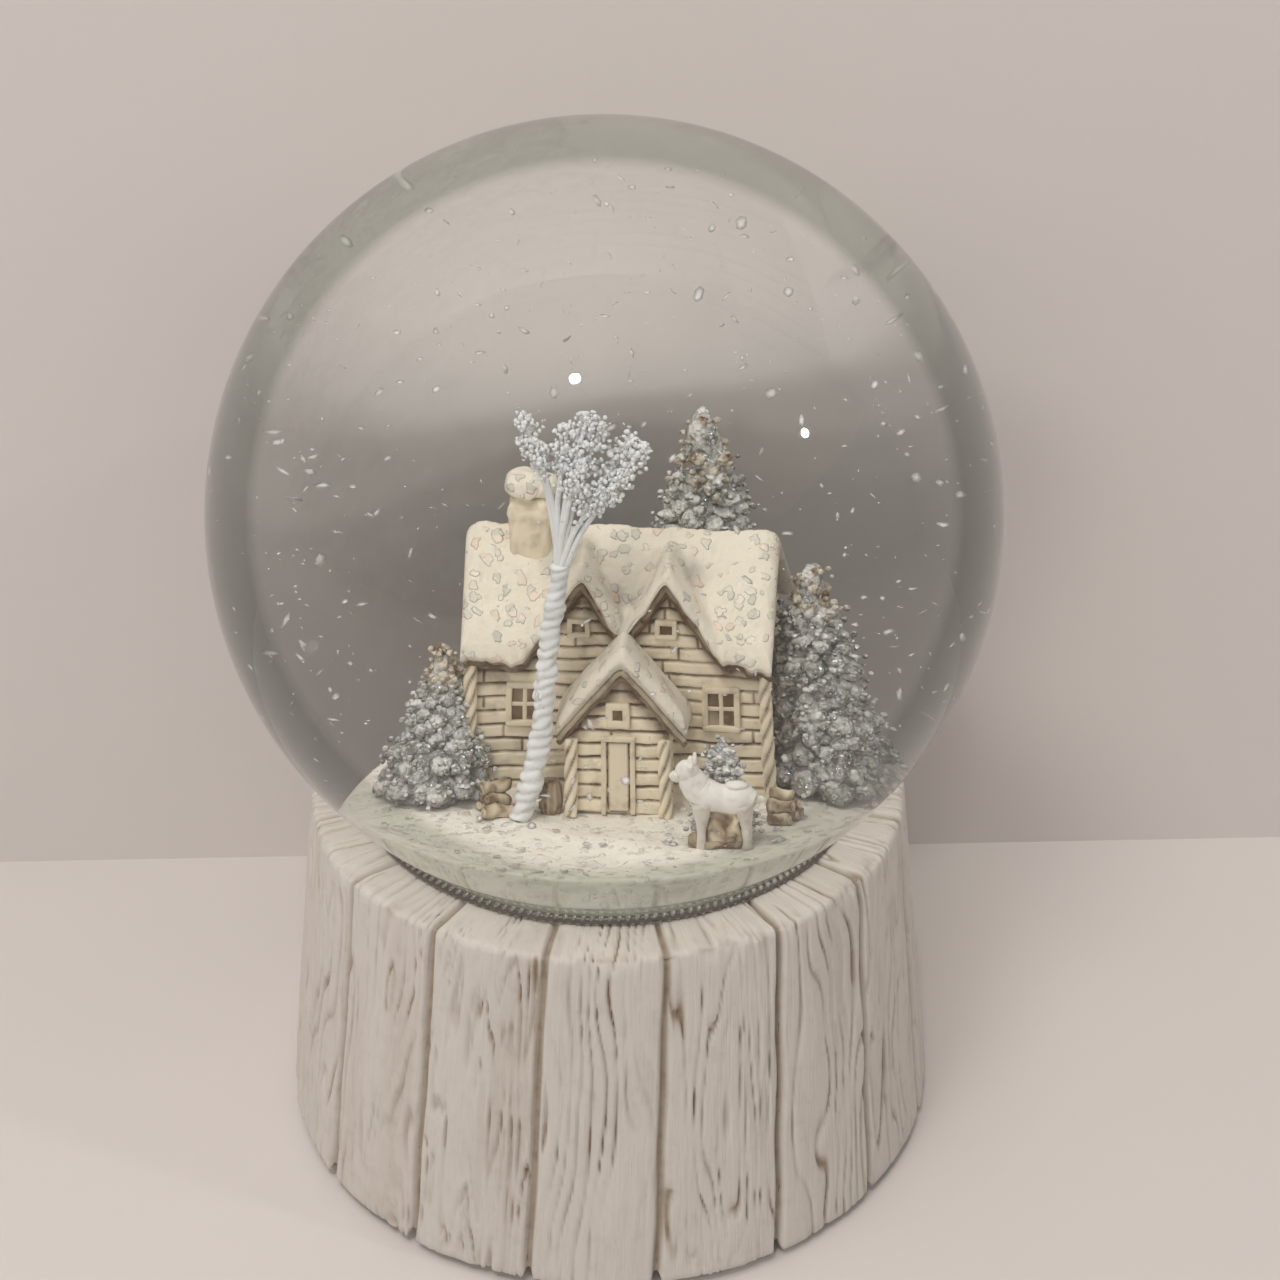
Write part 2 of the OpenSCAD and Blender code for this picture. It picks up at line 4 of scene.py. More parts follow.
import bmesh
import bpy
import numpy as np
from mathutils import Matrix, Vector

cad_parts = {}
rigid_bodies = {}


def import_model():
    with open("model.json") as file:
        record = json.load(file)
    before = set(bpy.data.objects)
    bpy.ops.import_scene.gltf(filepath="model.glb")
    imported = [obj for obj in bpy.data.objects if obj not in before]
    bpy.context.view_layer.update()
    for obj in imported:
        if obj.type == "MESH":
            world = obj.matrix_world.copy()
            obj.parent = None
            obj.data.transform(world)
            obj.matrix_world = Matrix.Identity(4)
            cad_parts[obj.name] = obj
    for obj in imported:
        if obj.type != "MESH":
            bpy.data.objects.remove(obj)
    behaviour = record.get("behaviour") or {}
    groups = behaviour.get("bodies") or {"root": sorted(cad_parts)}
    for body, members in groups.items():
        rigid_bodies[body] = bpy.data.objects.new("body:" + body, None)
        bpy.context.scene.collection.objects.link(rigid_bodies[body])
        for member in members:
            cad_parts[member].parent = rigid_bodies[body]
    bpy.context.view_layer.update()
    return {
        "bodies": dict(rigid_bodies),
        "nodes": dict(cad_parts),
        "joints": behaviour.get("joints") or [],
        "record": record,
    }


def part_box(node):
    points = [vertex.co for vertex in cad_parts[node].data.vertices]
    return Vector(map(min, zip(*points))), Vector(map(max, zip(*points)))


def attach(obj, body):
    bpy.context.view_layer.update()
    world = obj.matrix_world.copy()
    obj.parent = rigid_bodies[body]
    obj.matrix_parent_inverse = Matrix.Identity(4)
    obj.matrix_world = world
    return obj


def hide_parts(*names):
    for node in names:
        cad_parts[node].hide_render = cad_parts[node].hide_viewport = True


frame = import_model()
mm = 0.001


def boxMm(node):
    low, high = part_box(node)
    return np.array(low) / mm, np.array(high) / mm


# The driving sizes, read off the frame, in millimetres
glassLow, glassHigh = boxMm("glass_globe")
ballTop = glassHigh[2]
ballRadius = round((glassHigh[0] - glassLow[0]) / 2)  # the frame's ball is a mesh, a hair too small
ballCentre = ballTop - ballRadius
baseHigh = boxMm("base_shell")[1]
baseTop = baseHigh[2]
footRadius = round(baseHigh[0])
neckRadius = (boxMm("stopper")[1][0] - boxMm("stopper")[0][0]) / 2
moundLow, moundHigh = boxMm("snow_mound")
snowTop = moundHigh[2]
moundRadius = (moundHigh[0] - moundLow[0]) / 2
moundX = (moundHigh[0] + moundLow[0]) / 2
print("frame read: ball radius", ballRadius, "base height", round(baseTop, 2))


# Tools for surfaces

surface = {"weld": 1e-7}  # metres within which repeated points are one


# Smooth made-up noise: a sum of sine waves in random directions, each octave twice as fine and half as strong
def ripple(points, scale, seed, octaves=3):
    rng = np.random.default_rng(seed)
    total = np.zeros(points.shape[:-1])
    for octave in range(octaves):
        waves = rng.normal(size=(6, points.shape[-1])) * scale * 2 ** octave
        phases = rng.uniform(0, 2 * math.pi, 6)
        total += np.sin(points @ waves.T + phases).sum(-1) / 3.5 / 2 ** octave
    return total


# Evenly eased step from 0 at low to 1 at high
def ease(x, low, high):
    t = np.clip((x - low) / (high - low), 0, 1)
    return t * t * (3 - 2 * t)


# Grids of surface points, one or many: point (i, j) is joined to (i+1, j) and (i, j+1) by a quad
def gridPart(points, wash=0.0, slot=0, uv=None):
    nu, nv = points.shape[-3:-1]
    many = points.reshape(-1, nu * nv, 3)
    i, j = np.meshgrid(np.arange(nu - 1), np.arange(nv - 1), indexing="ij")
    quads = np.stack([i * nv + j, (i + 1) * nv + j, (i + 1) * nv + j + 1, i * nv + j + 1], -1).reshape(-1, 4)
    quads = quads[None] + (np.arange(len(many)) * nu * nv)[:, None, None]
    return {"co": many.reshape(-1, 3), "quads": quads.reshape(-1, 4), "slot": slot,
            "wash": np.broadcast_to(wash, points.shape[:-1]).reshape(-1),
            "uv": None if uv is None else uv.reshape(-1, 2)}


# Puts grids together as one mesh object at the origin; repeated points are merged, so seams and poles close
def makePiece(name, parts, materials):
    starts = np.cumsum([0] + [len(p["co"]) for p in parts])
    co = np.concatenate([p["co"] for p in parts]) * mm
    quads = np.concatenate([p["quads"] + s for p, s in zip(parts, starts)])
    slots = np.concatenate([np.full(len(p["quads"]), p["slot"]) for p in parts])
    mesh = bpy.data.meshes.new(name)
    mesh.vertices.add(len(co))
    mesh.vertices.foreach_set("co", co.astype(np.float32).ravel())
    mesh.loops.add(quads.size)
    mesh.loops.foreach_set("vertex_index", quads.astype(np.int32).ravel())
    mesh.polygons.add(len(quads))
    mesh.polygons.foreach_set("loop_start", np.arange(0, quads.size, 4, dtype=np.int32))
    mesh.polygons.foreach_set("material_index", slots.astype(np.int32))
    mesh.update(calc_edges=True)
    wash = mesh.attributes.new("wash", "FLOAT", "POINT")
    wash.data.foreach_set("value", np.concatenate([p["wash"] for p in parts]).astype(np.float32))
    if parts[0]["uv"] is not None:
        uv = np.concatenate([p["uv"] for p in parts])[quads.ravel()]
        mesh.uv_layers.new(name="grainUv").data.foreach_set("uv", uv.astype(np.float32).ravel())
    work = bmesh.new()
    work.from_mesh(mesh)
    bmesh.ops.remove_doubles(work, verts=work.verts, dist=surface["weld"])
    bmesh.ops.recalc_face_normals(work, faces=work.faces)
    for face in work.faces:
        face.smooth = True
    work.to_mesh(mesh)
    work.free()
    piece = bpy.data.objects.new(name, mesh)
    bpy.context.scene.collection.objects.link(piece)
    for material in materials:
        mesh.materials.append(material)
    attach(piece, "globe")
    return piece


# Tools for materials

def newMaterial(name):
    material = bpy.data.materials.new(name)
    material.use_nodes = True
    nodes = material.node_tree.nodes
    return material, nodes, material.node_tree.links, nodes["Principled BSDF"]


def newGroup(name, inputs, outputs):
    group = bpy.data.node_groups.new(name, "ShaderNodeTree")
    for label, kind, value in inputs:
        group.interface.new_socket(label, in_out="INPUT", socket_type=kind).default_value = value
    for label, kind in outputs:
        group.interface.new_socket(label, in_out="OUTPUT", socket_type=kind)
    return group, group.nodes.new("NodeGroupInput"), group.nodes.new("NodeGroupOutput")


def useGroup(nodes, group, **values):
    node = nodes.new("ShaderNodeGroup")
    node.node_tree = group
    for label, value in values.items():
        node.inputs[label].default_value = value
    return node


def mathNode(nodes, links, operation, first, second=0.5, third=None, clamp=False):
    node = nodes.new("ShaderNodeMath")
    node.operation = operation
    node.use_clamp = clamp
    for socket, value in zip(node.inputs, (first, second, third)):
        if value is None:
            continue
        if isinstance(value, (int, float)):
            socket.default_value = value
        else:
            links.new(value, socket)
    return node.outputs[0]


def mixColour(nodes, links, factor, first, second):
    node = nodes.new("ShaderNodeMix")
    node.data_type = "RGBA"
    for socket, value in ((node.inputs[0], factor), (node.inputs[6], first), (node.inputs[7], second)):
        if isinstance(value, (int, float, tuple)):
            socket.default_value = value if isinstance(value, (int, float)) else (*value[:3], 1)
        else:
            links.new(value, socket)
    return node.outputs[2]


def rampNode(nodes, links, value, low, high):
    node = nodes.new("ShaderNodeMapRange")
    node.interpolation_type = "SMOOTHSTEP"
    node.inputs["From Min"].default_value = low
    node.inputs["From Max"].default_value = high
    links.new(value, node.inputs["Value"])
    return node.outputs["Result"]


def noiseNode(nodes, links, vector, scale, detail=4.0, roughness=0.55):
    node = nodes.new("ShaderNodeTexNoise")
    node.inputs["Scale"].default_value = scale
    node.inputs["Detail"].default_value = detail
    node.inputs["Roughness"].default_value = roughness
    links.new(vector, node.inputs["Vector"])
    return node.outputs["Fac"]


def stretched(nodes, links, vector, scale):
    node = nodes.new("ShaderNodeMapping")
    node.inputs["Scale"].default_value = scale
    links.new(vector, node.inputs["Vector"])
    return node.outputs["Vector"]


def objectCoords(nodes):
    return nodes.new("ShaderNodeTexCoord").outputs["Object"]


def bumpNode(nodes, links, height, distance, strength=1.0):
    node = nodes.new("ShaderNodeBump")
    node.inputs["Strength"].default_value = strength
    node.inputs["Distance"].default_value = distance
    links.new(height, node.inputs["Height"])
    return node.outputs["Normal"]


# Antique wash: brown settles in hollows (the wash attribute) and in a fine mottling, more where it pools
def antiqueWashGroup():
    group, start, end = newGroup("antiqueWash", [
        ("Light", "NodeSocketColor", (0.7, 0.65, 0.58, 1)), ("Dark", "NodeSocketColor", (0.2, 0.13, 0.07, 1)),
        ("Mottle Scale", "NodeSocketFloat", 900.0), ("Mottle", "NodeSocketFloat", 0.25),
        ("Wash", "NodeSocketFloat", 0.0)],
        [("Color", "NodeSocketColor"), ("Mask", "NodeSocketFloat"), ("Height", "NodeSocketFloat")])
    nodes, links = group.nodes, group.links
    coords = objectCoords(nodes)
    noise = nodes.new("ShaderNodeTexNoise")
    noise.inputs["Detail"].default_value = 5
    links.new(start.outputs["Mottle Scale"], noise.inputs["Scale"])
    links.new(coords, noise.inputs["Vector"])
    spots = rampNode(nodes, links, noise.outputs["Fac"], 0.5, 0.78)
    spots = mathNode(nodes, links, "MULTIPLY", spots, start.outputs["Mottle"])
    edge = mathNode(nodes, links, "MULTIPLY_ADD", noise.outputs["Fac"], 0.7, -0.35)
    pooled = mathNode(nodes, links, "MULTIPLY", edge, start.outputs["Wash"])
    mask = mathNode(nodes, links, "ADD", start.outputs["Wash"], pooled)
    mask = mathNode(nodes, links, "ADD", mask, spots, clamp=True)
    colour = mixColour(nodes, links, mask, start.outputs["Light"], start.outputs["Dark"])
    links.new(colour, end.inputs["Color"])
    links.new(mask, end.inputs["Mask"])
    links.new(noise.outputs["Fac"], end.inputs["Height"])
    return group


# Glitter: each small cell gets its own tilt, and a share of the cells are bare metal flakes
def glitterGroup():
    group, start, end = newGroup("glitter", [
        ("Scale", "NodeSocketFloat", 1500.0), ("Share", "NodeSocketFloat", 0.3)],
        [("Mask", "NodeSocketFloat"), ("Tint", "NodeSocketColor"), ("Height", "NodeSocketFloat")])
    nodes, links = group.nodes, group.links
    cells = nodes.new("ShaderNodeTexVoronoi")
    links.new(start.outputs["Scale"], cells.inputs["Scale"])
    links.new(objectCoords(nodes), cells.inputs["Vector"])
    split = nodes.new("ShaderNodeSeparateColor")
    links.new(cells.outputs["Color"], split.inputs["Color"])
    chosen = mathNode(nodes, links, "LESS_THAN", split.outputs["Red"], start.outputs["Share"])
    inside = mathNode(nodes, links, "LESS_THAN", cells.outputs["Distance"], 0.48)
    links.new(mathNode(nodes, links, "MULTIPLY", chosen, inside), end.inputs["Mask"])
    links.new(mixColour(nodes, links, 0.82, cells.outputs["Color"], (0.86, 0.87, 0.88)), end.inputs["Tint"])
    tilt = mathNode(nodes, links, "MULTIPLY", cells.outputs["Distance"], split.outputs["Green"])
    links.new(tilt, end.inputs["Height"])
    return group


washGroup = antiqueWashGroup()
sparkleGroup = glitterGroup()


# Camera, stage and light

# Distance and height in ball radii, angles in degrees, lens in millimetres
view = {"distance": 4.496, "height": 4.0, "pitch": 29.845, "yaw": 1.118, "lens": 55.2}


def setCamera():
    camera = bpy.data.objects.new("camera", bpy.data.cameras.new("camera"))
    camera.data.lens = view["lens"]
    camera.data.sensor_width = 36
    camera.data.clip_start = 0.01
    camera.location = (0, -view["distance"] * ballRadius * mm, view["height"] * ballRadius * mm)
    camera.rotation_euler = (math.radians(90 - view["pitch"]), 0, math.radians(-view["yaw"]))
    bpy.context.scene.collection.objects.link(camera)
    bpy.context.scene.camera = camera


stage = {"wallMiddle": 61.2, "wallSlope": 0.0135, "half": 1.6, "colour": (0.70, 0.655, 0.63)}


def setStage():
    material, nodes, links, shader = newMaterial("paleBoard")
    mottle = noiseNode(nodes, links, objectCoords(nodes), 6, 2)
    light = stage["colour"]
    dark = tuple(c * 0.94 for c in light)
    links.new(mixColour(nodes, links, mottle, light, dark), shader.inputs["Base Color"])
    shader.inputs["Roughness"].default_value = 0.55
    bpy.ops.mesh.primitive_plane_add(size=2 * stage["half"])
    floor = bpy.context.object
    floor.name = "floor"
    floor.data.materials.append(material)
    wall, nodes, links, shader = newMaterial("backBoard")
    shader.inputs["Base Color"].default_value = (*stage["colour"], 1)
    shader.inputs["Roughness"].default_value = 0.5
    clear = nodes.new("ShaderNodeBsdfTransparent")
    back = nodes.new("ShaderNodeNewGeometry").outputs["Backfacing"]
    mix = nodes.new("ShaderNodeMixShader")
    links.new(back, mix.inputs["Fac"])
    links.new(shader.outputs["BSDF"], mix.inputs[1])
    links.new(clear.outputs["BSDF"], mix.inputs[2])
    links.new(mix.outputs["Shader"], nodes["Material Output"].inputs["Surface"])
    mesh = bpy.data.meshes.new("board")
    slope = stage["wallSlope"] * stage["half"]
    middle = stage["wallMiddle"] * mm
    left, right = (-stage["half"], middle - slope), (stage["half"], middle + slope)
    mesh.from_pydata([(*left, 0), (*right, 0), (*right, 1.2), (*left, 1.2)], [], [(0, 1, 2, 3)])
    board = bpy.data.objects.new("board", mesh)
    bpy.context.scene.collection.objects.link(board)
    mesh.materials.append(wall)


warm = (1.0, 0.97, 0.93)
lights = {"overhead": {"at": (-0.25, -0.25, 1.25), "size": 0.9, "power": 6.4, "colour": (1.0, 0.955, 0.915)},
          "front": {"at": (-0.75, -1.05, 0.75), "size": 0.55, "power": 4.9, "colour": (1.0, 0.965, 0.935)},
          "lampLeft": {"at": (-0.131, -0.472, 1.04), "size": 0.05, "power": 1.5, "colour": warm},
          "lampRight": {"at": (0.747, -0.305, 0.61), "size": 0.034, "power": 0.8, "colour": warm}}
room = {"colour": (0.79, 0.77, 0.755, 1), "strength": 0.36}


def setLights():
    aim = np.array((0, 0, ballCentre * mm))
    for name, values in lights.items():
        lamp = bpy.data.lights.new(name, "AREA")
        lamp.shape = "DISK"
        lamp.size = values["size"]
        lamp.energy = values["power"]
        lamp.color = values["colour"]
        lampObject = bpy.data.objects.new(name, lamp)
        lampObject.location = values["at"]
        across = np.array(values["at"]) - aim
        flat = math.hypot(across[0], across[1])
        lampObject.rotation_euler = (math.atan2(flat, across[2]), 0, math.atan2(across[0], -across[1]))
        small = values["size"] < 0.1
        lampObject.visible_glossy = small  # only the small lamps show as highlights on the ball
        lampObject.visible_transmission = small
        bpy.context.scene.collection.objects.link(lampObject)
    world = bpy.data.worlds.new("room")
    world.use_nodes = True
    world.node_tree.nodes["Background"].inputs["Color"].default_value = room["colour"]
    world.node_tree.nodes["Background"].inputs["Strength"].default_value = room["strength"]
    bpy.context.scene.world = world
    bpy.context.scene.view_settings.view_transform = "Standard"
    for limit, count in (("max_bounces", 16), ("transmission_bounces", 14), ("transparent_max_bounces", 24),
                         ("glossy_bounces", 6), ("diffuse_bounces", 4)):
        setattr(bpy.context.scene.cycles, limit, count)


setCamera()
setStage()
setLights()
print("camera, stage and lights set")


# Plank base

planks = {"count": 17, "first": -11.4, "columns": 60, "seed": 4, "rim": 48.5, "rimRound": 1.3, "slant": -2.6,
          "grooveWidth": 1.5, "grooveDepth": 1.2, "grain": 2.5, "grainDepth": 0.62, "meanRadius": 53}
hollow = {"mouth": 48, "ledge": 11.5, "bore": 44, "ceiling": 46}  # inside of the base, in millimetres


# Carries a profile of (radius, height) round the Z axis; the seam column is repeated and welded later
def revolve(profile, angles):
    a = angles[:, None]
    return np.stack([profile[None, :, 0] * np.sin(a), -profile[None, :, 0] * np.cos(a),
                     np.broadcast_to(profile[None, :, 1], (len(angles), len(profile)))], -1)


# Samples a polyline of corners: rows[k] points along leg k, without its last corner
def sampled(corners, rows):
    legs = [a + (b - a) * np.linspace(0, 1, n, endpoint=False)[:, None]
            for a, b, n in zip(np.array(corners[:-1], float), np.array(corners[1:], float), rows)]
    return np.concatenate(legs + [np.array(corners[-1:], float)])


def arcPoints(centre, radius, start, stop, count):
    a = np.radians(np.linspace(start, stop, count))
    return [(centre[0] + radius * math.cos(t), centre[1] + radius * math.sin(t)) for t in a]


# Outer skin of the planks: a turned profile, pushed in along its normal by the grooves between planks,
# by wavering grain lines (contours of a stretched field, some of them nested arches) and by chips on the rim
def plankBase():
    recess = boxMm("adhesive_ring")[1][0] + 0.1
    floorZ = boxMm("adhesive_ring")[0][2]
    rimRadius, rnd = planks["rim"], planks["rimRound"]
    lean = math.degrees(math.atan2(footRadius - rimRadius, baseTop - 1))
    rim = arcPoints((rimRadius - rnd, baseTop - rnd), rnd, 90, lean, 5)
    foot = arcPoints((footRadius - 1.1, 2.1), 0.9, 0, -90, 4)
    corners = [(0, floorZ), (recess, floorZ), (recess, baseTop - 0.3), (recess + 0.4, baseTop), *rim, *foot,
               (hollow["mouth"], 1), (hollow["mouth"], hollow["ledge"]), (hollow["bore"], hollow["ledge"]),
               (hollow["bore"], hollow["ceiling"]), (0, hollow["ceiling"])]
    rows = [3, 3, 1, 9] + [1] * 4 + [58] + [1] * 3 + [4, 2, 1, 3, 3]
    profile = sampled(corners, rows)
    along = np.concatenate([[0], np.cumsum(np.linalg.norm(np.diff(profile, axis=0), axis=1))])
    edge = np.gradient(profile, axis=0)
    normal = np.stack([edge[:, 1], -edge[:, 0]], -1)
    normal = -normal / np.maximum(np.linalg.norm(normal, axis=1, keepdims=True), 1e-9)
    topStart, sideEnd = 7, 7 + 9 + 4 + 58 + 3
    mask = np.zeros(len(profile))
    mask[topStart:sideEnd + 2] = 1
    mask[topStart] = 0.6
    count = planks["count"]
    turns = np.linspace(0, count, count * planks["columns"] + 1)
    angles = np.radians(planks["first"] + turns * 360 / count)
    t = along[None, :] - along[topStart]
    plank = np.floor(turns - 1e-6).astype(int) % count
    rng = np.random.default_rng(planks["seed"])
    arcWidth = 2 * math.pi * planks["meanRadius"] / count
    # the grooves waver a little: the same shift is used on both sides of a groove
    nearest = np.round(turns).astype(int) % count
    waver = ripple(np.stack([np.broadcast_to(nearest[:, None] * 7.3, (len(turns), t.shape[1])),
                             np.broadcast_to(t, (len(turns), t.shape[1]))], -1), 0.09, 3, 2) * 0.28
    gap = np.abs((turns - np.round(turns))[:, None] * arcWidth + waver)
    half = planks["grooveWidth"] / 2
    groove = 1 - ease(gap, half * 0.35, half * 1.25)
    across = ((turns % 1) - 0.5)[:, None] * arcWidth
    lines = np.zeros((len(turns), t.shape[1]))
    tone = np.zeros_like(lines)
    cuts = np.zeros_like(lines)
    for k in range(count):
        rowsHere = plank == k
        x = across[rowsHere] + rng.uniform(-1, 1)
        spot = np.stack(np.broadcast_arrays(x, t), -1) * (1, 0.14)
        bend = ripple(spot + 40 * k, 0.33, 10 + k, 3) * 1.25
        if k % 3 == 1:
            centre = rng.uniform(15, 50)
            field = np.sqrt((x / planks["grain"]) ** 2 + ((t - centre) / (planks["grain"] * 7.5)) ** 2) * 1.1
        else:
            field = x / planks["grain"] + 0.4 * np.sin(t * 0.11 + k)
        field = field + bend
        valley = np.exp(-((field % 1 - 0.5) / 0.10) ** 2)
        strong = np.clip(0.5 + 0.8 * ripple(spot * (0.6, 1.5) - 17 * k, 0.7, 60 + k, 2), 0, 1.2)
        lines[rowsHere] = valley * strong
        scratched = np.clip(2.0 * ripple(spot * (0.6, 2.0) + 5 * k, 0.9, 130 + k, 2) - 0.5, 0, 1)
        cuts[rowsHere] = np.exp(-((field % 1 - 0.5) / 0.06) ** 2) * scratched
        ledge = 0.5 * (field % 1) * np.clip(ripple(spot * (0.5, 1.2) + 3 * k, 0.5, 150 + k, 2), -1, 1)
        tone[rowsHere] = (0.35 * ripple(spot * 0.5 + 9 * k, 0.5, 90 + k, 2) + ledge) * planks["grainDepth"]
    proud = rng.uniform(-0.25, 0.2, count)[plank][:, None]
    relief = planks["grainDepth"] * lines + 0.45 * cuts + tone * 0.7 - proud * 0.6
    push = planks["grooveDepth"] * groove + (1 - groove) * relief
    rimZone = np.exp(-((along[None, :] - along[topStart + 11]) / 1.3) ** 2)
    alongRim = np.stack(np.broadcast_arrays(turns[:, None] * 15, t * 0.5), -1)
    chips = np.clip(ripple(alongRim, 0.9, 21, 3), 0, 1.5)
    push = (push + rimZone * chips * 0.8) * mask
    # the planks run a little to the left on their way down
    down = np.clip((baseTop - profile[:, 1]) / baseTop, 0, 1) * (profile[:, 0] > hollow["mouth"])
    swung = angles[:, None] + math.radians(planks["slant"]) * down[None, :]
    points = np.stack([profile[None, :, 0] * np.sin(swung), -profile[None, :, 0] * np.cos(swung),
                       np.broadcast_to(profile[None, :, 1], swung.shape)], -1)
    outward = np.stack([normal[None, :, 0] * np.sin(swung), -normal[None, :, 0] * np.cos(swung),
                        np.broadcast_to(normal[None, :, 1], push.shape)], -1)
    points = points - outward * push[..., None]
    # each plank's foot ends at its own height, with a notch where the groove runs out
    nearFloor = np.exp(-((points[..., 2] - 1) / 2.2) ** 2)
    footLift = (rng.uniform(0, 0.5, count)[plank][:, None] + groove * 1.4) * nearFloor
    points[..., 2] += footLift * mask
    stained = np.clip(lines * 0.42 + cuts * 1.1 + tone * 0.6, 0, 1) * 0.8
    wash = (0.66 * groove ** 2 + (1 - groove) * stained + rimZone * chips * 0.2) * mask
    uv = np.stack(np.broadcast_arrays(turns[:, None] * arcWidth * 0.01, along[None, :] * 0.01), -1)
    parts = [gridPart(points, wash, 0, uv)]
    return makePiece("plankBase", parts, [whitewashedResin()])


# Whitewash over resin: warm cream, brown left in the hollows, hair-fine grain lines and a few black cracks
def whitewashedResin():
    material, nodes, links, shader = newMaterial("whitewashedResin")
    uv = nodes.new("ShaderNodeUVMap")
    uv.uv_map = "grainUv"
    wash = nodes.new("ShaderNodeAttribute")
    wash.attribute_name = "wash"
    fine = noiseNode(nodes, links, stretched(nodes, links, uv.outputs["UV"], (230, 9, 1)), 1, 6, 0.65)
    broad = noiseNode(nodes, links, stretched(nodes, links, uv.outputs["UV"], (40, 5, 1)), 1, 4)
    cracks = rampNode(nodes, links, noiseNode(nodes, links, stretched(
        nodes, links, uv.outputs["UV"], (330, 26, 1)), 1, 2), 0.70, 0.76)
    washed = useGroup(nodes, washGroup, **{"Light": (0.645, 0.602, 0.552, 1), "Dark": (0.235, 0.16, 0.09, 1),
                                           "Mottle Scale": 420.0, "Mottle": 0.10})
    hair = rampNode(nodes, links, fine, 0.56, 0.80)
    amount = mathNode(nodes, links, "MULTIPLY_ADD", hair, 0.34, wash.outputs["Fac"])
    amount = mathNode(nodes, links, "MULTIPLY_ADD", rampNode(nodes, links, broad, 0.5, 0.85), 0.16, amount)
    links.new(amount, washed.inputs["Wash"])
    blackened = mathNode(nodes, links, "MULTIPLY", cracks,
                         rampNode(nodes, links, wash.outputs["Fac"], 0.05, 0.5))
    colour = mixColour(nodes, links, blackened, washed.outputs["Color"], (0.06, 0.045, 0.035))
    links.new(colour, shader.inputs["Base Color"])
    rough = mathNode(nodes, links, "MULTIPLY_ADD", washed.outputs["Mask"], 0.22, 0.5)
    links.new(rough, shader.inputs["Roughness"])
    shader.inputs["Specular IOR Level"].default_value = 0.4
    links.new(bumpNode(nodes, links, fine, 0.00035, 0.55), shader.inputs["Normal"])
    return material


base = plankBase()
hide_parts("base_shell")
print("plank base made")


# Glass ball

# Wall and spot in millimetres; "back" is the depth and "low" the height, in metres, over which shade sets in
glass = {"wall": 2.5, "columns": 224, "rows": 90, "index": 1.5, "indexInside": 1.128, "edge": (0.50, 0.58),
         "edgeGreenAndShade": (0.42, 0.46, 0.41), "shadow": (0.985, 0.99, 0.98), "dimmed": (0.435, 0.43, 0.425),
         "gathered": (1.20, 1.20, 1.205), "brightSpot": (-4.0, 108.5), "spotSize": (31.0, 16.5),
         "spotTilt": 5.0,
         "back": (0.012, 0.026), "low": (0.122, 0.114)}


# Clear glass whose index is told against what lies beyond it, greener and darker where it is seen edge on:
# its own green with painted shade for the dark ring at the ball's rim. Light for shadows and from matt
# surfaces passes straight
# on. The filled ball is a lens: through its low back it gathers light on the patch that it nearly touches,
# and it leaves the rest of what stands behind in shade
def clearGlass(name, ior):
    material, nodes, links, shader = newMaterial(name)
    facing = nodes.new("ShaderNodeLayerWeight")
    facing.inputs["Blend"].default_value = 0.5
    # Painted shade: the glass darkens towards its edge-on rim, besides its own green tint
    edge = rampNode(nodes, links, facing.outputs["Facing"], *glass["edge"])
    links.new(mixColour(nodes, links, edge, (0.99, 0.995, 0.99), glass["edgeGreenAndShade"]),
              shader.inputs["Base Color"])
    shader.inputs["Roughness"].default_value = 0
    shader.inputs["IOR"].default_value = ior
    shader.inputs["Transmission Weight"].default_value = 1
    clear = nodes.new("ShaderNodeBsdfTransparent")
    spot = nodes.new("ShaderNodeVectorMath")
    spot.operation = "SUBTRACT"
    links.new(objectCoords(nodes), spot.inputs[0])
    spot.inputs[1].default_value = (glass["brightSpot"][0] * mm, 0, glass["brightSpot"][1] * mm)
    tilted = nodes.new("ShaderNodeVectorRotate")
    tilted.rotation_type = "Y_AXIS"
    tilted.inputs["Angle"].default_value = math.radians(glass["spotTilt"])
    links.new(spot.outputs[0], tilted.inputs["Vector"])
    squeeze = (1 / glass["spotSize"][0] / mm, 0, 1 / glass["spotSize"][1] / mm)
    squeezed = stretched(nodes, links, tilted.outputs["Vector"], squeeze)
    squared = nodes.new("ShaderNodeVectorMath")
    squared.operation = "MULTIPLY"
    links.new(squeezed, squared.inputs[0])
    links.new(squeezed, squared.inputs[1])
    length = nodes.new("ShaderNodeVectorMath")
    length.operation = "LENGTH"  # of the squares, so that the patch has nearly straight sides
    links.new(squared.outputs[0], length.inputs[0])
    split = nodes.new("ShaderNodeSeparateXYZ")
    links.new(objectCoords(nodes), split.inputs[0])
    behind = rampNode(nodes, links, split.outputs["Y"], *glass["back"])
    inSpot = rampNode(nodes, links, length.outputs["Value"], 1.08, 0.92)
    through = mixColour(nodes, links, inSpot, glass["dimmed"], glass["gathered"])
    low = mathNode(nodes, links, "MULTIPLY", behind,
                   rampNode(nodes, links, split.outputs["Z"], *glass["low"]))
    links.new(mixColour(nodes, links, low, glass["shadow"], through), clear.inputs["Color"])
    mix = nodes.new("ShaderNodeMixShader")
    path = nodes.new("ShaderNodeLightPath")
    lit = mathNode(nodes, links, "MAXIMUM", path.outputs["Is Shadow Ray"], path.outputs["Is Diffuse Ray"])
    links.new(lit, mix.inputs["Fac"])
    links.new(shader.outputs["BSDF"], mix.inputs[1])
    links.new(clear.outputs["BSDF"], mix.inputs[2])
    links.new(mix.outputs["Shader"], nodes["Material Output"].inputs["Surface"])
    return material


